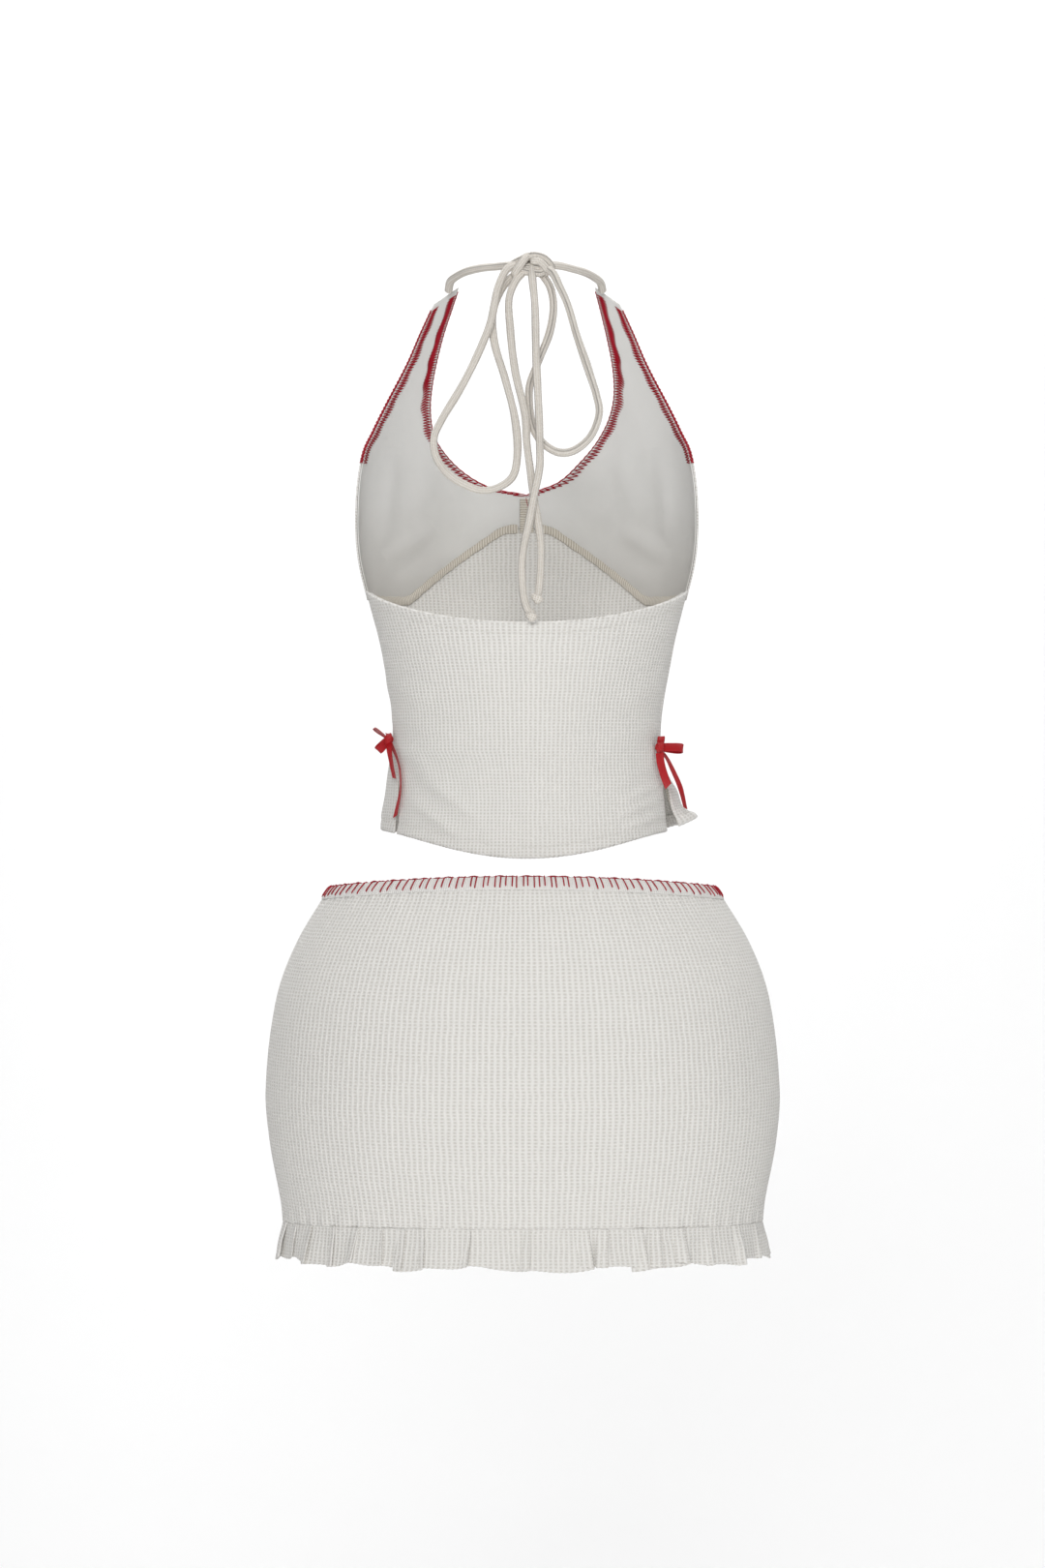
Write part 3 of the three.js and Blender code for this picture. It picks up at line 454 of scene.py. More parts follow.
def grid(columns, rows, ring=False):
    across = np.arange(columns) / columns if ring else np.linspace(0, 1, columns + 1)
    return np.meshgrid(across, np.linspace(0, 1, rows + 1), indexing="ij")


def sheet(middle, thickness, cells, ring=False, scallop=0.0):
    """A sheet of cloth round a grid of points on its middle, with soft rounded edges. With ring set, the
    last column joins the first. scallop is how far the ribs stand out along the edges."""
    columns, rows = middle.shape[:2]
    if ring:
        along = np.roll(middle, -1, 0) - np.roll(middle, 1, 0)
    else:
        along = np.gradient(middle, axis=0)
    normal = unit(np.cross(along, np.gradient(middle, axis=1)))
    half = (thickness / 2 * np.ones((columns, rows)))[..., None]
    front, back = (middle + normal * half).reshape(-1, 3), (middle - normal * half).reshape(-1, 3)
    index = np.arange(columns * rows).reshape(columns, rows)
    n = columns * rows
    following = np.roll(index, -1, 0) if ring else index[1:]
    this = index if ring else index[:-1]
    quads = np.stack([this[:, :-1], following[:, :-1], following[:, 1:], this[:, 1:]], -1).reshape(-1, 4)
    faces = quads.tolist() + (quads[:, ::-1] + n).tolist()
    if ring:
        edges = [[(i, 0) for i in range(columns)], [(i, rows - 1) for i in range(columns)][::-1]]
    else:
        top, right = [(i, 0) for i in range(columns - 1)], [(columns - 1, j) for j in range(rows - 1)]
        low = [(i, rows - 1) for i in range(columns - 1, 0, -1)]
        left = [(0, j) for j in range(rows - 1, 0, -1)]
        edges = [top + right + low + left]
    rims = []
    start = 2 * n
    for loop in edges:
        i, j = np.array(loop).T
        within_i = i if ring else np.clip(i, 1, columns - 2)
        away = unit(middle[i, j] - middle[within_i, np.clip(j, 1, rows - 2)])
        ribs = scallop * np.cos(2 * np.pi * cells[i, j, 0])[:, None]
        rims.append(middle[i, j] + away * (half[i, j] * 0.8 + ribs))
        on, rim = index[i, j], start + np.arange(len(loop))
        on2, rim2 = np.roll(on, -1), np.roll(rim, -1)
        faces += np.stack([on2, on, rim, rim2], -1).tolist()
        faces += np.stack([rim2, rim, on + n, on2 + n], -1).tolist()
        start += len(loop)
    flat = cells.reshape(-1, 2)
    rim_cells = [cells[tuple(np.array(loop).T)] for loop in edges]
    return np.vstack([front, back, *rims]), faces, np.vstack([flat, flat, *rim_cells])


def knit_cells(middle, level, rib=3.9, course=2.75):
    """Texture coordinates that count ribs across and courses down."""
    row = middle[:, middle.shape[1] // 2]
    across = run_along(row)
    return np.stack([(across / rib)[:, None] + 0 * level, level / course], -1)


def creased(x, z, creases):
    """The height of soft straight creases, each (x0, z0, x1, z1, width, height), with faded ends."""
    height = 0 * x
    for x0, z0, x1, z1, width, size in creases:
        dx, dz = x1 - x0, z1 - z0
        t = ((x - x0) * dx + (z - z0) * dz) / (dx * dx + dz * dz)
        off = ((x - x0) * dz - (z - z0) * dx) / math.hypot(dx, dz)
        height = height + size * np.exp(-(off / width) ** 2) * np.sin(np.pi * np.clip(t, 0, 1)) ** 0.7
    return height


def stitches(starts, ends, outward, diameter):
    """Short stitches of thread between pairs of points, each arched a little outwards, as closed shells."""
    shells = []
    for a, b, n in zip(starts, ends, outward):
        t = np.linspace(0, 1, 5)[:, None]
        path = lerp(a, b, t) + n * (0.35 * diameter * np.sin(np.pi * t) - 0.15 * diameter)
        shells.append(tube(path, diameter, 6))
    return shells


def stitch_row(skin, angles, levels, distance, pitch, diameter, shown=0.66):
    """A row of running stitches along a line of angles and levels on a skin."""
    line_points = lift(skin, angles, levels, distance)
    along = run_along(line_points)
    starts = np.arange(pitch / 2, along[-1] - pitch, pitch)
    ends = []
    for s in (starts, starts + pitch * shown):
        at = np.interp(s, along, np.arange(len(along)))
        ends.append(np.stack([np.interp(at, np.arange(len(along)), line_points[:, k]) for k in range(3)], -1))
    middle = line_points.mean(0) * (0, 0, 1)
    outward = unit((ends[0] - middle) * (1, 1, 0))
    return stitches(ends[0], ends[1], outward, diameter)


# The waffle knit: raised ribs and courses round small square hollows, counted by the cells coordinates.
waffle = bpy.data.node_groups.new("waffle", "ShaderNodeTree")
add_socket(waffle, "INPUT", "Cells", "Vector")
add_socket(waffle, "OUTPUT", "Hollow")
add_socket(waffle, "OUTPUT", "Height")
given, out = waffle.nodes.new("NodeGroupInput"), waffle.nodes.new("NodeGroupOutput")
wander = shader(waffle, "TexNoise", given.outputs["Cells"], None, 0.22, 2.0, 0.5, output="Color")
shift = waffle.nodes.new("ShaderNodeVectorMath")
shift.operation = "MULTIPLY_ADD"
waffle.links.new(wander, shift.inputs[0])
shift.inputs[1].default_value = (0.55, 0.55, 0)
waffle.links.new(given.outputs["Cells"], shift.inputs[2])
across, down, _ = (shader(waffle, "SeparateXYZ", shift.outputs[0], output=i) for i in range(3))
rib, course = (
    maths(waffle, "MULTIPLY_ADD", maths(waffle, "COSINE", maths(waffle, "MULTIPLY", x, 2 * math.pi)), 0.5, 0.5)
    for x in (across, down))
yarns = maths(waffle, "COSINE", maths(waffle, "MULTIPLY", down, 4 * math.pi))
hollow = maths(waffle, "MULTIPLY", maths(waffle, "SUBTRACT", 1.0, rib), maths(waffle, "SUBTRACT", 1.0, course))
raised = maths(waffle, "MAXIMUM", rib, maths(waffle, "MULTIPLY", course, 0.8))
waffle.links.new(hollow, out.inputs["Hollow"])
waffle.links.new(maths(waffle, "MULTIPLY_ADD", yarns, 0.08, raised), out.inputs["Height"])


def waffle_material(name, light, dark, bump):
    made, tree, surface = cloth_material(name, 0.93, 0.25)
    woven = tree.nodes.new("ShaderNodeGroup")
    woven.node_tree = waffle
    tree.links.new(shader(tree, "UVMap", uv_map="cells"), woven.inputs["Cells"])
    # Painted shade: the darker colour is mixed into the knit's hollows.
    colour = shader(tree, "MixRGB", woven.outputs["Hollow"], (*light, 1), (*dark, 1))
    finish_yarn(tree, surface, colour, woven.outputs["Height"], bump, 0.07)
    return made


# The second colour is the painted shade in the hollows.
waffle_knit = waffle_material("waffle_knit", (0.80, 0.785, 0.755), (0.60, 0.575, 0.53), 0.0006)
sewing_thread, tree, surface = cloth_material("sewing_thread", 0.7, 0.1)
finish_yarn(tree, surface, (0.78, 0.765, 0.73), 0.5, 0.00005)

def folded_edge(distance):
    """How much thicker a turned-in edge is, with a groove where it is stitched down."""
    return 0.9 * np.exp(-(distance / 5) ** 2) - 1.0 * np.exp(-((distance - 9) / 1.4) ** 2)


u, v = grid(420, 110)
angle, level = on_back(u, v)
x = torso_width(level) * np.sin(np.radians(angle))
down = (0.5 - np.abs(0.5 - v)) * BACK_HEIGHT  # distance from the nearer of the two hems
fold = folded_edge(down)
ease = creased(x, level, [
    (-96, -40, -36, -84, 6, 2.8), (-110, -16, -60, -60, 6, 2.0), (-104, -62, -52, -100, 5, 2.0),
    (78, -66, 117, -50, 4, 2.4), (76, -78, 118, -62, 4, 2.7), (80, -90, 119, -76, 4, 2.4),
    (56, -52, 106, -42, 7, 1.8), (-120, 8, -56, -10, 8, 1.5), (120, 4, 58, -16, 8, 1.5),
    (-126, 40, -80, 20, 9, 1.3), (128, 44, 80, 20, 9, 1.3),
])
ease = ease + 1.0 * np.sin(x / 23 + 0.7) * np.sin(level / 38 + 1.1) * share(0, 25, down)
middle = lift(torso, angle, level, KNIT / 2 + ease)
shells = [sheet(middle, KNIT + fold, knit_cells(middle, level), scallop=0.25)]
back_panel = piece("back_panel_cloth", shells, waffle_knit, "top", "waffle_knit", "back_panel")

rows = []
for v_row in (STITCHED_IN / BACK_HEIGHT, 1 - STITCHED_IN / BACK_HEIGHT):
    u_row = np.linspace(0.02, 0.98, 300)
    angle, level = on_back(u_row, v_row)
    rows += stitch_row(torso, angle, level, KNIT + 0.15, 3.1, 0.5)
piece("back_panel_stitching", rows, sewing_thread, "top", "waffle_knit")


def turned_in(name, place, edge_v, width, distance, thickness, columns, material, slot, cad_node, skin=torso):
    """A strip turned in along a panel's edge, on the wearer's side of it."""
    u, v = grid(columns, 8)
    angle, level = place(lerp(0.03, 0.97, u), edge_v)
    level = level + width * v
    middle = lift(skin, angle, level, distance + 0 * level)
    return piece(name, [sheet(middle, thickness, knit_cells(middle, level))], material, "top", slot, cad_node)


elastic_white, tree, surface = cloth_material("elastic_white", 0.8, 0.1)
ridges = maths(tree, "COSINE", maths(tree, "MULTIPLY", cell_counts(tree)[0], 16.0))
finish_yarn(tree, surface, (0.82, 0.81, 0.79), ridges, 0.0002)
turned_in("back_top_elastic_band", on_back, 0, -8, -0.75, 0.7, 200, elastic_white, "elastic", "back_top_elastic")
top_facing = turned_in("back_top_turn_in", on_back, 0, -10, -1.9, 0.8, 200, waffle_knit, "waffle_knit",
                       "back_top_facing")
hem_facing = turned_in("back_hem_turn_up", on_back, 1, 10, -1.1, 0.8, 200, waffle_knit, "waffle_knit",
                       "back_hem_facing")


# ---- The top's front midriff panel ----
# The same waffle knit, from the underbust seam down to a stitched hem that dips at the middle front.
# Its corners hang free beside the slits, and the right one flares out and curls.


def front_skin(angle, level):
    point = torso(angle, level)
    near = share(140, 92, np.abs(angle)) ** 2 * (1 - share(92, 70, np.abs(angle)))
    opened = share(SLIT_TOP, TOP_HEM_SIDE, level) ** 1.3
    right = angle > 0
    point[..., 0] += np.where(right, RIGHT_SLIT["flare"], -LEFT_SLIT["flare"]) * near * opened
    point[..., 2] += 0.5 * np.where(right, RIGHT_SLIT["flare"], LEFT_SLIT["flare"]) * near * opened ** 2
    return point


FRONT_HEIGHT = 215
UNDERBUST_SIDE, UNDERBUST_CENTRE = 112, 180
risen = line((-90, 0), (-58, 0), (-48, 0.05), (-16, 0.8), (-8, 0.98), (0, 1))


def underbust(angle):
    return lerp(UNDERBUST_SIDE, UNDERBUST_CENTRE, risen(np.abs(angle) - 180))


def on_front(u, v):
    """Angle and level on the front panel, from the left side seam round the front to the right."""
    f = np.abs(1 - 2 * u)
    angle = 180 - 90 * f
    for _ in range(5):
        level = lerp(underbust(angle) - 0.4, top_hem(angle), v)
        edge = np.where(u < 0.5, LEFT_SLIT["front"], RIGHT_SLIT["front"])
        angle = 180 - f * (180 - side_angle(edge, level) - 0.14)
    return angle * np.where(u < 0.5, -1, 1), level


u, v = grid(500, 120)
angle, level = on_front(u, v)
fold = folded_edge((1 - v) * FRONT_HEIGHT)
low = share(-20, -92, level) ** 2
near_right = np.exp(-((angle - 92) / 13) ** 2)
near_left = np.exp(-((angle + 92) / 10) ** 2)
ease = low * (3.2 * near_right * np.sin(level / 5.2) + 1.3 * near_left * np.sin(level / 7))
ease = ease + 1.0 * np.sin(np.radians(angle) * 9) * np.sin(level / 31) * np.clip(v * 4, 0, 1)
middle = lift(front_skin, angle, level, KNIT / 2 + ease)
shells = [sheet(middle, KNIT + fold, knit_cells(middle, level), scallop=0.25)]
front_panel = piece("front_midriff_cloth", shells, waffle_knit, "top", "waffle_knit", "front_midriff_panel")
hem_facing = turned_in("front_hem_turn_up", on_front, 1, 10, -1.1, 0.8, 240, waffle_knit, "waffle_knit",
                       "front_hem_facing", front_skin)
angle, level = on_front(np.linspace(0.02, 0.98, 340), 1 - STITCHED_IN / FRONT_HEIGHT)
rows = stitch_row(front_skin, angle, level, KNIT + 0.15, 3.1, 0.5)
piece("front_hem_stitching", rows, sewing_thread, "top", "waffle_knit")


# ---- Side seams and slit edges ----
# Overlocked seam allowances of cream thread, on the wearer's side. They run down both side seams and
# along both edges of each slit.

seam_knit, tree, surface = cloth_material("seam_allowance", 0.9, 0.2)
along, _ = cell_counts(tree)
strokes = maths(tree, "COSINE", maths(tree, "MULTIPLY", along, 2 * math.pi))
# Painted shade: a dark brown is mixed into the gaps between the overlock strokes.
gaps = shader(tree, "MapRange", strokes, -1.0, 0.2, 1.0, 0.0)
colour = shader(tree, "MixRGB", gaps, (0.74, 0.70, 0.62, 1), (0.47, 0.41, 0.33, 1))
finish_yarn(tree, surface, colour, strokes, 0.0003, 0.1)


def seam_strip(name, skin, centre, high, low, inner, cad_node, body="top", width=7):
    """An overlocked allowance along a line of angles, whose cells count its stitches."""
    u, v = grid(int(abs(high - low) / 0.8), 8)
    level = lerp(high, low, u)
    degrees = np.degrees(width / 2 / np.abs(skin(90 + 0 * level, level)[..., 0]))
    angle = centre(level) + degrees * (2 * v - 1)
    puffed = 0.25 * np.sin(np.pi * v)
    middle = lift(skin, angle, level, inner - 0.55 - puffed / 2)
    cells = np.stack([level / 1.9, v], -1)
    return piece(name, [sheet(middle, 1.1 + puffed, cells)], seam_knit, body, "seam_allowance", cad_node)


for name, slit in (("left", LEFT_SLIT), ("right", RIGHT_SLIT)):
    for part, skin, panel, aside, high, low, cad_part in (
        ("side_seam", torso, "back", 0, -21.6, 76.5, "side_seam"),
        ("back_slit", torso, "back", -2.4, -81.5, -22.4, "back_slit_facing"),
        ("front_slit", front_skin, "front", 2.4, -81.5, -22.4, "front_slit_facing"),
    ):
        seam_strip(f"{name}_{part}_edge", skin, lambda z: slit["side"] * (side_angle(slit[panel], z) + aside),
                   high, low, -0.7, f"{name}_{cad_part}")


# ---- Cups ----
# Each cup is a waffle-knit shell over a smooth lining with a thin foam pad between, from the underbust
# seam up to a strap. The open back shows the linings, with their seam allowances, from inside.

NECKLINE_BOTTOM = 209
STRAP_INSIDE = (29, 386)
NECKLINES = {
    -1: [(0, NECKLINE_BOTTOM), (13, 216), (23.5, 230), (31.5, 248), (35.6, 264), (37.2, 285), (36.9, 308),
         (35.6, 330), (33.8, 350), (31.2, 370), STRAP_INSIDE],
    1: [(0, NECKLINE_BOTTOM), (11.5, 221), (19.4, 238), (26, 256), (31, 276), (33.6, 297), (33.9, 321),
        (32.6, 345), (30.8, 368), STRAP_INSIDE],
}
PAD_ANGLE, PAD_HALF_ANGLE, PAD_RISE, PAD_HEIGHT = 38, 21, 7, 54
ARMHOLE = [(90, BACK_EDGE_SIDE), (90, 190), (80, 236), (68, 262), (58, 290), (49.8, 320), (44.2, 350),
           (39.8, 372)]


def outline(points):
    """A smooth line through (angle, level) points, as a function of 0 to 1 along it."""
    p = np.array(points, float)
    p = np.vstack([p[0], p, p[-1]])
    t = np.linspace(0, 1, 40, endpoint=False)[:, None]
    fine = []
    for a, b, c, d in zip(p, p[1:], p[2:], p[3:]):
        fine.append(b + 0.5 * t * (c - a + t * (2 * a - 5 * b + 4 * c - d + t * (3 * (b - c) + d - a))))
    fine = np.vstack([*fine, p[-1][None]])
    along = run_along(fine)
    along = along / along[-1]
    return lambda share: np.stack([np.interp(share, along, fine[:, k]) for k in range(2)], -1)


def cup_bottom(t):
    return np.stack([90 * t, underbust(180 - 90 * t) + 0.4], -1)


neck_edge = {}
for side, points in NECKLINES.items():
    neck_edge[side] = outline([(0, UNDERBUST_CENTRE + 0.4), (0, 194.5), *points])
arm_edge = outline([(90, UNDERBUST_SIDE + 0.4), *ARMHOLE])
strap_end = outline([STRAP_INSIDE, ARMHOLE[-1]])


def on_cup(side, u, v):
    """Angle and level on a cup, with u from the centre front to the side and v from the bottom up."""
    u1, v1 = u[..., None], v[..., None]
    low, high = cup_bottom(u), strap_end(u)
    edges = lerp(low, high, v1) + lerp(neck_edge[side](v), arm_edge(v), u1)
    c00, c10 = cup_bottom(np.array(0.0)), cup_bottom(np.array(1.0))
    c01, c11 = strap_end(np.array(0.0)), strap_end(np.array(1.0))
    point = edges - lerp(lerp(c00, c10, u1), lerp(c01, c11, u1), v1)
    return side * (180 - np.maximum(point[..., 0], 0.12)), point[..., 1]


def pad_swell(angle, level):
    """How far the shell stands out over the pad."""
    from_front = 180 - np.abs(angle)
    across = (from_front - PAD_ANGLE) / PAD_HALF_ANGLE
    up = 2 * (level - underbust(180 - from_front) - PAD_RISE) / PAD_HEIGHT - 1
    within = np.clip(2.2 - across ** 2 - up ** 2, 0, 1)
    return 4.9 * within ** 2 * (3 - 2 * within)


cup_lining, tree, surface = cloth_material("cup_lining", 0.85, 0.15)
along, _ = cell_counts(tree)
wales = maths(tree, "COSINE", maths(tree, "MULTIPLY", along, 14 * math.pi))
height = shader(tree, "SeparateXYZ", shader(tree, "TexCoord", output="Object"), output=2)
# Painted shade: the lining's colour is mixed towards a darker grey lower down, standing for the shadow inside
# the top.
painted_shade = shader(tree, "MapRange", height, 0.11, 0.20, 1.0, 0.0)  # greyer towards the underbust seam
# The second colour is the painted shade.
colour = shader(tree, "MixRGB", painted_shade, (0.89, 0.885, 0.86, 1), (0.66, 0.64, 0.60, 1))
finish_yarn(tree, surface, colour, wales, 0.0001, 0.05)
bust_foam, tree, surface = cloth_material("bust_foam", 0.95, 0.0)
finish_yarn(tree, surface, (0.80, 0.79, 0.75), 0.5, 0.0003)

for name, side in (("left", -1), ("right", 1)):
    u, v = grid(160, 220)
    angle, level = on_cup(side, u, v)
    x = torso_width(level) * np.sin(np.radians(angle))
    soft = creased(np.abs(x), level, [(30, 196, 64, 150, 9, 2.4), (60, 150, 118, 126, 9, 3.2),
                                      (70, 300, 96, 190, 10, 2.2), (120, 250, 128, 160, 8, 2.4),
                                      (20, 190, 48, 168, 5, 1.6), (84, 180, 126, 150, 8, 2.6)])
    inset = np.clip(12 * v * (1 - v), 0, 1) * np.clip(9 * u - 0.9, 0, 1) * np.clip(9 * (1 - u) - 0.9, 0, 1)
    inside = lift(torso, angle, level, 0.4 - soft * inset)
    shell = lift(torso, angle, level, 2 + pad_swell(angle, level))
    cells = np.stack([np.radians(np.abs(angle)) * 145 / 3.9, level / 2.75], -1)
    lining_piece = piece(f"{name}_lining_cloth", [sheet(inside, 0.8, cells)], cup_lining, "top",
                         "cup_lining", f"{name}_cup_lining")
    shell_piece = piece(f"{name}_shell_cloth", [sheet(shell, KNIT, cells)], waffle_knit, "top",
                        "waffle_knit", f"{name}_cup_shell")

    u, v = grid(60, 60)
    across = 2 * u - 1
    pad_angle = PAD_ANGLE + PAD_HALF_ANGLE * across
    pad_level = underbust(180 - pad_angle) + PAD_RISE + PAD_HEIGHT * np.sqrt(1 - 0.8 * across ** 2) * v
    full = lerp(1, 4.5, np.sin(np.pi * u) * np.sin(np.pi * v)) - 0.4
    middle = lift(torso, side * (180 - pad_angle), pad_level, 1.2 + full / 2)
    pad = piece(f"{name}_pad_foam", [sheet(middle, full, np.stack([u, v], -1))], bust_foam, "top",
                "bust_foam", f"{name}_bust_pad")

    u, v = grid(300, 8)
    angle = 180 - lerp(3.2, 86, u)
    level = underbust(angle) + 7 * (v - 0.5) + 0.5 * np.sin(u * 90) * (v - 0.5)
    bulge = 0.5 * np.sin(np.pi * v)
    middle = lift(torso, side * angle, level, -1.25 - bulge)
    shells = [sheet(middle, 1.1 + bulge, np.stack([u * 90, v], -1))]
    piece(f"{name}_underbust_seam_edge", shells, seam_knit, "top", "seam_allowance", f"{name}_underbust_seam")

u, v = grid(40, 10)
level = lerp(UNDERBUST_CENTRE - 3, NECKLINE_BOTTOM - 2, u)
middle = lift(torso, 180 + 2.2 * (2 * v - 1), level, -1.25 - 0.4 * np.sin(np.pi * v))
shells = [sheet(middle, 1.1, np.stack([u * 14, v], -1))]
piece("centre_seam_edge", shells, seam_knit, "top", "seam_allowance", "centre_front_seam")


# ---- Red overlock thread on the neckline and armholes ----
# Dark red thread is zigzagged over the cut edges. The teeth are wide at the bottom of the neckline and
# close up towards the straps. A thread end hangs at the middle front.

red_thread, tree, surface = cloth_material("red_thread", 0.6, 0.0, 0.25)
twist = maths(tree, "COSINE", maths(tree, "MULTIPLY", cell_counts(tree)[1], 9.0))
finish_yarn(tree, surface, (0.36, 0.004, 0.018), twist, 0.00008, 0.2)


ARMHOLE_THREAD_LOW = 232  # the armhole's edge is plain below this level


def zigzag(side, edge_u, v_low, v_high, pitch_at, depth_at):
    """Thread zigzagged over a cup's edge, on both of its faces, and three threads laid along the edge."""
    v_fine = np.linspace(v_low, v_high, 900)
    inner_u = np.full_like(v_fine, abs(edge_u - 0.06))
    edge_u = np.full_like(v_fine, edge_u)
    shells = []
    for distance in (-0.5, 3.2):
        edge = lift(torso, *on_cup(side, edge_u, v_fine), distance)
        apart = np.linalg.norm(lift(torso, *on_cup(side, inner_u, v_fine), distance) - edge, axis=1)
        along = run_along(edge)
        s, corners = 0.0, []
        while s < along[-1]:
            height = np.interp(s, along, v_fine)
            corners.append(s)
            s += pitch_at(height) / 2
        corner_v = np.interp(corners, along, v_fine)
        depth = np.where(np.arange(len(corners)) % 2 == 0, 0.2, [depth_at(h) for h in corner_v])
        steps = np.linspace(0, len(corners) - 1, 5 * (len(corners) - 1) + 1)
        v_path = np.interp(steps, np.arange(len(corners)), corner_v)
        d_path = np.interp(steps, np.arange(len(corners)), depth)
        u_path = lerp(np.interp(v_path, v_fine, edge_u), np.interp(v_path, v_fine, inner_u),
                      d_path / np.interp(v_path, v_fine, apart))
        shells.append(tube(lift(torso, *on_cup(side, u_path, v_path), distance), 0.85, 6))
    angle, level = on_cup(side, edge_u, v_fine)
    rim = lift(torso, angle, level, 1.4)
    away = unit(rim - lift(torso, *on_cup(side, inner_u, v_fine), 1.4))
    for reach, lean, size in ((0.9, -0.9, 0.9), (1.0, 0.0, 1.0), (0.9, 0.9, 0.9)):
        outward = lift(torso, angle, level, 2.4) - rim
        wobble = 0.25 * np.sin(np.linspace(0, 260, len(rim)) + lean)[:, None]
        path = rim + away * (reach + wobble) + outward * (lean + wobble)
        shells.append(tube(path, size, 7, lambda s, t: 0.1 * np.cos(2 * np.pi * (s / 1.6 + t))))
    return shells


def share_at_level(edge, level):
    """How far along a cup's edge that level is."""
    tries = np.linspace(0, 1, 400)
    return float(np.interp(level, edge(tries)[:, 1], tries))


for name, side in (("left", -1), ("right", 1)):
    v_start = share_at_level(neck_edge[side], NECKLINE_BOTTOM + 0.5)
    shells = zigzag(side, 0.0, v_start, 0.985, lambda v: lerp(5.7, 2.5, share(0.2, 0.42, v)),
                    lambda v: 8.2 + 0.8 * math.sin(v * 60))
    piece(f"{name}_neckline_zigzag", shells, red_thread, "top", "overlock_thread", f"{name}_neckline_thread")
    v_start = share_at_level(arm_edge, ARMHOLE_THREAD_LOW)
    shells = zigzag(side, 1.0, v_start, 0.985, lambda v: 2.6, lambda v: 7.2 + 0.8 * math.sin(v * 70))
    piece(f"{name}_armhole_zigzag", shells, red_thread, "top", "overlock_thread", f"{name}_armhole_thread")

end = spread([(0.6, 94.5, 208), (1.2, 92.5, 204), (2.4, 92, 199), (2, 92, 194), (3.4, 91.5, 190)], 0.5)
piece("neckline_thread_end", [tube(end, 0.6, 6)], red_thread, "top", "overlock_thread")


# ---- Ribbon bows ----
# A narrow red satin ribbon is tied through the top of each side slit. The left one has two small loops
# to the left, and its tails hang down the slit. The right one has a wide loop and two loose tails.


def ribbon(points, wides, width=6.0, cup=0.35, tip=0.0):
    """A ribbon along a smooth curve. Its width turns evenly through the given directions, it is cupped
    a little across, and tip slants its far end."""
    path = spread(points, 0.5)
    tangent = unit(np.gradient(path, axis=0))
    t = np.linspace(0, 1, len(path))
    turns = np.array(wides, float)
    at = np.linspace(0, 1, len(turns))
    wide = np.stack([np.interp(t, at, turns[:, k]) for k in range(3)], -1)
    flat = unit(np.cross(wide, tangent))
    across = np.cross(tangent, flat)
    w = np.linspace(-1, 1, 13)[None, :, None]
    slant = tangent[:, None] * w * tip * np.clip(t * 6 - 5, 0, 1)[:, None, None]
    middle = path[:, None] + across[:, None] * w * width / 2 + flat[:, None] * (cup * (1 - w ** 2)) + slant
    along = np.linspace(0, length_of(path), len(path))
    cells = np.stack([along[:, None] + 0 * w[..., 0], w[..., 0] * width / 2 + 0 * along[:, None]], -1)
    return sheet(middle, 0.4, cells)


def ribbon_loop(centre, toward, wide, bulge, width=6.0):
    """A ribbon that leaves the knot, turns at its far end and comes back beside itself."""
    t = np.linspace(0.03, 0.97, 16)[:, None]
    apart = unit(np.cross(wide, toward))
    reach = np.array(toward) * 1.35 * np.sin(np.pi * t) ** 0.8
    points = np.array(centre) + reach - apart * bulge * np.sin(2 * np.pi * t)
    return ribbon(points, [wide, wide], width, cup=0.2)


satin_ribbon, tree, surface = cloth_material("satin_ribbon", 0.36, 0.0, 0.5)
along, _ = cell_counts(tree)
weft = maths(tree, "COSINE", maths(tree, "MULTIPLY", along, 28.0))
finish_yarn(tree, surface, (0.42, 0.002, 0.007), weft, 0.00003, 0.3)
surface.inputs["Anisotropic"].default_value = 0.5


def satin_piece(name, shells, body, cad_node):
    piece(name, shells, satin_ribbon, body, "satin_ribbon", cad_node)


LEFT_BOW, RIGHT_BOW = (-119.6, -19, -12), (117.1, -31, -19)


def bow_knot(centre, radii):
    """The gathered middle of a bow, with a turn of the ribbon wrapped round it."""
    t = np.linspace(0, 2 * np.pi, 40)
    wrap = [(centre[0] + 0.5 * math.sin(3 * a), centre[1] + (radii[1] - 0.6) * math.cos(a),
             centre[2] + (radii[2] - 0.4) * math.sin(a)) for a in t]
    path = np.array(wrap)
    band = ribbon(path, [(1, 0, 0.1), (1, 0.1, -0.1), (1, 0, 0.1)], 4.6, cup=0.7)
    core = spread([(centre[0] - radii[0] * 0.9, centre[1], centre[2] + 1), centre,
                   (centre[0] + radii[0] * 0.9, centre[1], centre[2] - 1)], 0.4)
    lump = tube(core, 1.7 * min(radii[1:]), 36, lambda s, t: 0.45 * np.cos(2 * np.pi * 7 * t + s * 0.4), 0.6)
    return [band, lump]


satin_piece("left_bow_knot", bow_knot(LEFT_BOW, (4.6, 5.4, 6)), "top", "left_ribbon_knot")
satin_piece("left_bow_upper_loop", [ribbon_loop(LEFT_BOW, (-9.6, 0, 7.2), (0.2, 1, 0.2), 1.0, 5.2)], "top",
            "left_ribbon_upper_loop")
satin_piece("left_bow_lower_loop", [ribbon_loop(LEFT_BOW, (-7, 0, -7.4), (-0.6, -0.3, 0.55), 2.6, 7.0)],
            "top", "left_ribbon_lower_loop")
satin_piece("left_bow_outer_tail", [
    ribbon([(-119, -22, -15), (-118.4, -28.5, -23), (-116.5, -33, -34), (-114, -37, -46)],
           [(0.9, -0.6, 0), (0.6, -0.8, 0), (0.5, -0.9, 0)], 5.6, tip=1.5)],
    "left_ribbon_outer_tail_end", "left_ribbon_outer_tail")
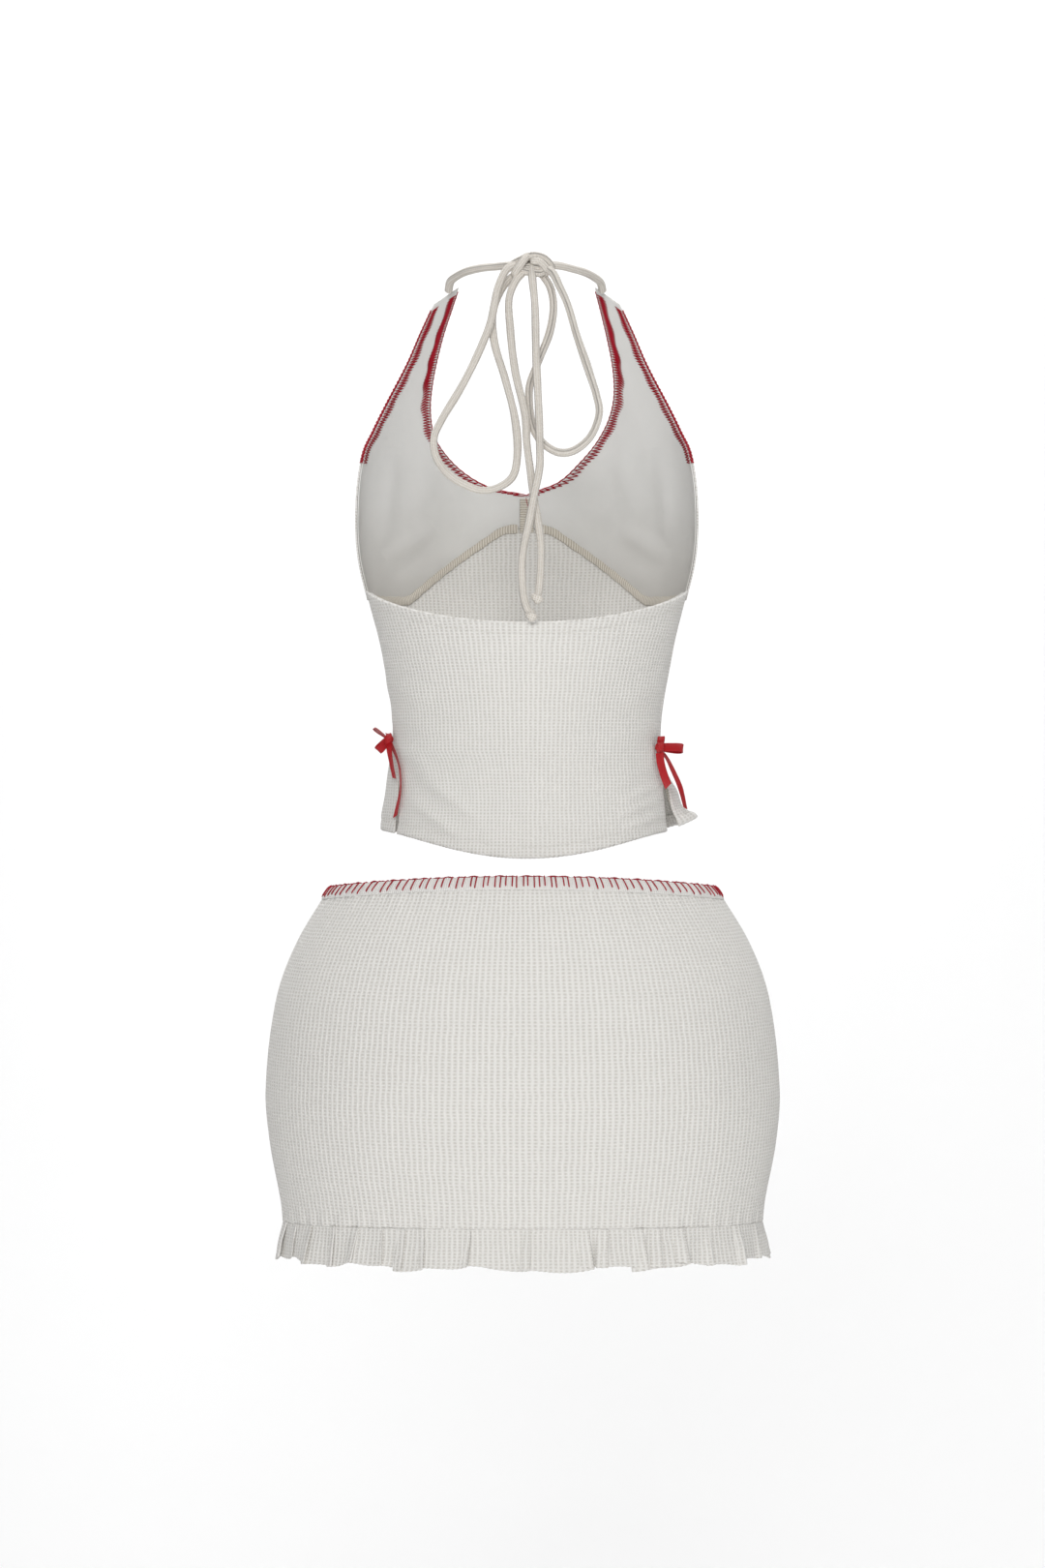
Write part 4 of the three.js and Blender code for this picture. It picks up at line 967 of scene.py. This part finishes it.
satin_piece("left_bow_inner_tail", [
    ribbon([(-118, -22, -15), (-112, -33, -28), (-109, -41, -40), (-108.5, -44, -56), (-113, -42, -79)],
           [(0.5, -0.85, 0), (0.25, -1, 0), (0.3, -0.95, 0), (0.6, -0.8, 0)], 5.2, tip=-2.0)],
    "left_ribbon_inner_tail_end", "left_ribbon_inner_tail")
satin_piece("right_bow_knot", bow_knot(RIGHT_BOW, (4.6, 5.4, 6)), "top", "right_ribbon_knot")
satin_piece("right_bow_side_loop", [ribbon_loop(RIGHT_BOW, (15, 4, -1), (0.1, 0.35, 1), 3.2, 7.4)], "top",
            "right_ribbon_upper_loop")
satin_piece("right_bow_top_loop", [ribbon_loop(RIGHT_BOW, (1, 3, 7), (1, -0.2, 0), 1.8, 5.6)], "top",
            "right_ribbon_lower_loop")
satin_piece("right_bow_outer_tail", [
    ribbon([(116.5, -35, -24), (117.5, -37, -33), (120.5, -38.5, -44), (124, -38, -53)],
           [(1, 0, 0.1), (1, 0.1, 0.3), (1, 0, 0.5)], 6.6, tip=-1.5)],
    "right_ribbon_outer_tail_end", "right_ribbon_outer_tail")
satin_piece("right_bow_inner_tail", [
    ribbon([(118.5, -27, -23), (123, -23, -28), (129, -23, -40), (135, -23, -54), (139.5, -23, -72)],
           [(0.3, 1, 0.2), (0.6, 0.8, 0.3), (0.7, 0.7, 0.3), (0.5, 0.9, 0.2)], 5.8, tip=1.2)],
    "right_ribbon_inner_tail_end", "right_ribbon_inner_tail")


# ---- The skirt ----
# Two panels of waffle knit, seamed at the sides, with a smooth casing round the waist that holds a
# narrow elastic. The knit draws in a little under the casing.

skirt_width = line((-465, 214.2), (-433, 209.2), (-365, 220.5), (-318, 223.8), (-240, 214.8), (-190, 196.8),
                   (-143, 168.2), (-131, 159.8))
skirt_back = line((-465, 127), (-433, 122), (-365, 136), (-300, 145), (-240, 141), (-180, 125), (-131, 106))
skirt_front = line((-465, 112), (-433, 108), (-300, 115), (-200, 113), (-131, 102))


def hips(angle, level):
    point = skin_at(skirt_width, skirt_back, skirt_front, lambda x, z: 0 * x, angle, level)
    point[..., 0] -= 2.3
    return point


def skirt_edge(angle):
    wrapped = (angle + 180) % 360 - 180
    return -143 + np.where(np.abs(wrapped) < 90, 12, -5) * cosine(angle, 1.5)


def ruffle_seam(angle):
    return -433 + 6 * cosine(angle, 1.5)


for name, middle_angle in (("back", 0), ("front", 180)):
    u, v = grid(460, 140)
    angle = middle_angle + lerp(-89.86, 89.86, u)
    level = lerp(skirt_edge(angle), ruffle_seam(angle) + 0.4, v)
    around = np.radians(angle) * 200
    drawn_in = np.exp(-v * 14)
    gathers = 0.45 * np.sin(around / 2.1) + 0.35 * np.sin(around / 5.3 + 1)
    pucker = drawn_in * gathers * np.clip(v * 25, 0, 1)
    waves = 0.5 * np.sin(around / 37 + 2 * v) * np.sin(v * 8 + np.sin(around / 90)) * np.clip(v * 5, 0, 1)
    gathered = np.exp(-((1 - v) * 290 / 12) ** 2) * 0.5 * np.sin(around / 3.4 + 0.8 * np.sin(around / 11))
    middle = lift(hips, angle, level, KNIT / 2 + pucker + waves + gathered)
    shells = [sheet(middle, KNIT, knit_cells(middle, level, 5.2, 2.9))]
    panel = piece(f"skirt_{name}_cloth", shells, waffle_knit, "skirt", "waffle_knit", f"skirt_{name}_panel")

    u, v = grid(400, 14)
    angle = middle_angle + lerp(-89.8, 89.8, u)
    level = skirt_edge(angle) - 14 * v
    middle = lift(hips, angle, level, -1.9 + 0 * level)
    shells = [sheet(middle, 0.8, knit_cells(middle, level))]
    casing = piece(f"skirt_{name}_casing_cloth", shells, seam_knit, "skirt", "waffle_knit",
                   f"skirt_{name}_casing")

casing_knit, tree, surface = cloth_material("casing_knit", 0.92, 0.25)
along, _ = cell_counts(tree)
ribs = maths(tree, "COSINE", maths(tree, "MULTIPLY", along, 4 * math.pi))
finish_yarn(tree, surface, (0.79, 0.775, 0.745), ribs, 0.00025, 0.05)
u, v = grid(900, 16, ring=True)
angle = lerp(-180, 180, u)
level = skirt_edge(angle) + 0.3 - 10.5 * v
around = np.radians(angle) * 180
roll = 0.6 * np.sin(np.pi * v) ** 0.6 + 0.3 * np.sin(around / 1.9 + np.sin(around / 7)) * np.sin(np.pi * v)
middle = lift(hips, angle, level, KNIT + 0.35 + roll / 2)
shells = [sheet(middle, 0.7 + roll, knit_cells(middle, level), ring=True)]
piece("waist_band", shells, casing_knit, "skirt", "waffle_knit")
u, v = grid(360, 10, ring=True)
angle = lerp(-180, 180, u)
level = skirt_edge(angle) - 3 - 9 * v
middle = lift(hips, angle, level, -0.75 + 0 * level)
shells = [sheet(middle, 0.7, np.stack([level / 1.2, u * 500], -1), ring=True)]
piece("waist_elastic_band", shells, elastic_white, "skirt", "elastic", "waist_elastic")
for name, side in (("left", -1), ("right", 1)):
    seam_strip(f"skirt_{name}_seam_edge", hips, lambda z: side * 90 + 0 * z, -158, -426, -0.9,
               f"skirt_{name}_seam", "skirt")


# ---- Red whip stitches round the waist ----
# Dark red thread is whipped over the skirt's upper edge by hand, with a long stitch about every 8 mm that
# leans outwards towards the sides, and two more threads are laid along the edge.

WHIP_STITCHES = 136
shells = []
for i in range(WHIP_STITCHES):
    turned = -180 + 360 * i / WHIP_STITCHES
    round_waist = turned - 11 * math.sin(math.radians(2 * turned))  # evens the pitch round the oval waist
    angle = round_waist + 0.25 * math.sin(i * 2.7)
    depth = 8.3 + 0.9 * math.sin(i * 1.9)
    outwards = 1.3 * share(15, 75, abs(angle)) if abs(angle) < 90 else 0.8
    lean = math.copysign(outwards, angle) + 0.12 * math.sin(i * 3.1)
    route = [(angle + 0.9 * lean, -depth, 2.6), (angle + 0.75 * lean, -depth + 1.2, 3.3),
             (angle + 0.4 * lean, -depth / 2, 3.4), (angle + 0.08 * lean, -0.8, 3.0), (angle, 1.3, 1.6),
             (angle - 0.1 * lean, 1.2, -0.5), (angle - 0.2 * lean, -2, -2.6), (angle - 0.3 * lean, -4, -2.6)]
    a, dz, out_by = (np.array(k) for k in zip(*route))
    path = spread(lift(hips, a, skirt_edge(a) + dz, out_by), 0.7)
    shells.append(tube(path, 1.2, 7, lambda s, t: 0.06 * np.cos(2 * np.pi * (s / 1.1 + t))))
ring = np.radians(np.linspace(-180, 179.7, 1200))
for k, (rise, out_by) in enumerate(((0.9, 1.9), (1.1, 0.7))):
    angle = np.degrees(ring)
    wobble = 0.3 * np.sin(ring * 90 + k) + 0.25 * np.sin(ring * 41)
    path = lift(hips, angle, skirt_edge(angle) + rise + wobble, out_by + wobble)
    shells.append(tube(path, 0.9, 7, lambda s, t: 0.08 * np.cos(2 * np.pi * (s / 1.3 + t))))
piece("waist_whip_stitches", shells, red_thread, "skirt", "overlock_thread", "waist_edge_thread")


# ---- The ruffle ----
# A short gathered strip of the same knit, sewn round the skirt's lower edge. Its fullness is pressed
# into narrow knife folds, unevenly spaced, that open towards the wavy hem.

# Each fold's place in degrees, and how much cloth it doubles back, in mm.
FOLDS_BACK = [(-78, 5), (-69, 4), (-60.5, 5), (-51, 4.5), (-43, 5), (-35.5, 4), (-29.6, 5), (-24.4, 4.5),
              (-13.2, 5.5), (0.9, 4), (13.6, 7.5), (18.7, 6), (27.3, 7), (32.2, 6), (39.1, 6.5),
              (48, 4.5), (60.8, 6), (72, 5)]
FOLDS_FRONT = [(a + 2 * math.sin(3 * a), 4.5) for a in range(-82, 84, 9)]


def ruffle_rows(folds, count, rows):
    """Angle, distance out and depth share over a ruffle half. Each fold doubles the cloth back on itself."""
    overlap = np.array([w for _, w in folds]) / 1.9  # degrees
    at = np.array([a for a, _ in folds])
    knots_t, knots_a = [0.0], [-89.8]
    for a, w in zip(at, overlap):
        knots_t.append(knots_t[-1] + (a + w / 2) - knots_a[-1])
        knots_a.append(a + w / 2)
        knots_t.append(knots_t[-1] + w)
        knots_a.append(a - w / 2)
    knots_t.append(knots_t[-1] + 89.8 - knots_a[-1])
    knots_a.append(89.8)
    t = np.linspace(0, knots_t[-1], count)
    angle = np.interp(t, knots_t, knots_a)
    out_by = np.zeros(count)
    for k, w in enumerate(overlap):
        turn, back = knots_t[1 + 2 * k], knots_t[2 + 2 * k]
        height = 2.0 + 0.9 * w
        rise = np.clip(1 - (turn - t) / 5.0, 0, 1) ** 2.4 * (t <= turn)
        fall = np.clip(1 - (t - turn) / (back - turn + 0.35), 0, 1) * (t > turn)
        out_by = out_by + height * (rise + fall)
    smooth = np.exp(-np.linspace(-2, 2, 9) ** 2)
    smooth = smooth / smooth.sum()
    angle = np.convolve(np.pad(angle, 4, mode="edge"), smooth, "valid")
    out_by = np.convolve(np.pad(out_by, 4, mode="edge"), smooth, "valid")
    down = np.linspace(0, 1, rows)
    return angle, out_by, down


for name, middle_angle, folds in (("back", 0, FOLDS_BACK), ("front", 180, FOLDS_FRONT)):
    angle, out_by, down = ruffle_rows(folds, 1500, 26)
    t = np.linspace(0, 1, len(angle))[:, None]
    v = down[None, :]
    opened = 0.3 + 0.7 * v ** 0.8
    sway = 0.55 * v * np.sin(t * 71) + 0.3 * v * np.sin(t * 173 + 1)
    a = middle_angle + angle[:, None] + sway
    drop = 32 + 2.0 * np.sin(t * 38 + 1) + 1.2 * np.sin(t * 97) - 1.5 * np.cos(2 * np.pi * t)
    level = ruffle_seam(a) - 0.4 - drop * v
    puff = 1.3 * np.sin(np.pi * np.clip(v * 1.15, 0, 1)) + 1.8 * v * np.sin(t * 52 + 0.5)
    pin = np.clip(v * 12, 0, 1)
    middle = lift(hips, a, level, KNIT / 2 + out_by[:, None] * opened + puff * pin)
    length = run_along(middle[:, 13])
    cells = np.stack([(length / 4.4)[:, None] + 0 * level, -drop * v / 2.75], -1)
    cloth = piece(f"{name}_ruffle_cloth", [sheet(middle, 1.2, cells, scallop=0.2)], waffle_knit, "skirt",
                  "waffle_knit", f"{name}_ruffle")
u, v = grid(700, 8, ring=True)
angle = lerp(-180, 180, u)
level = ruffle_seam(angle) + 3.5 - 7 * v
middle = lift(hips, angle, level, -1.25 - 0.3 * np.sin(np.pi * v))
piece("ruffle_seam_edge", [sheet(middle, 1.1, np.stack([u * 680, v], -1), ring=True)], seam_knit, "skirt",
      "seam_allowance", "ruffle_seam_allowance")
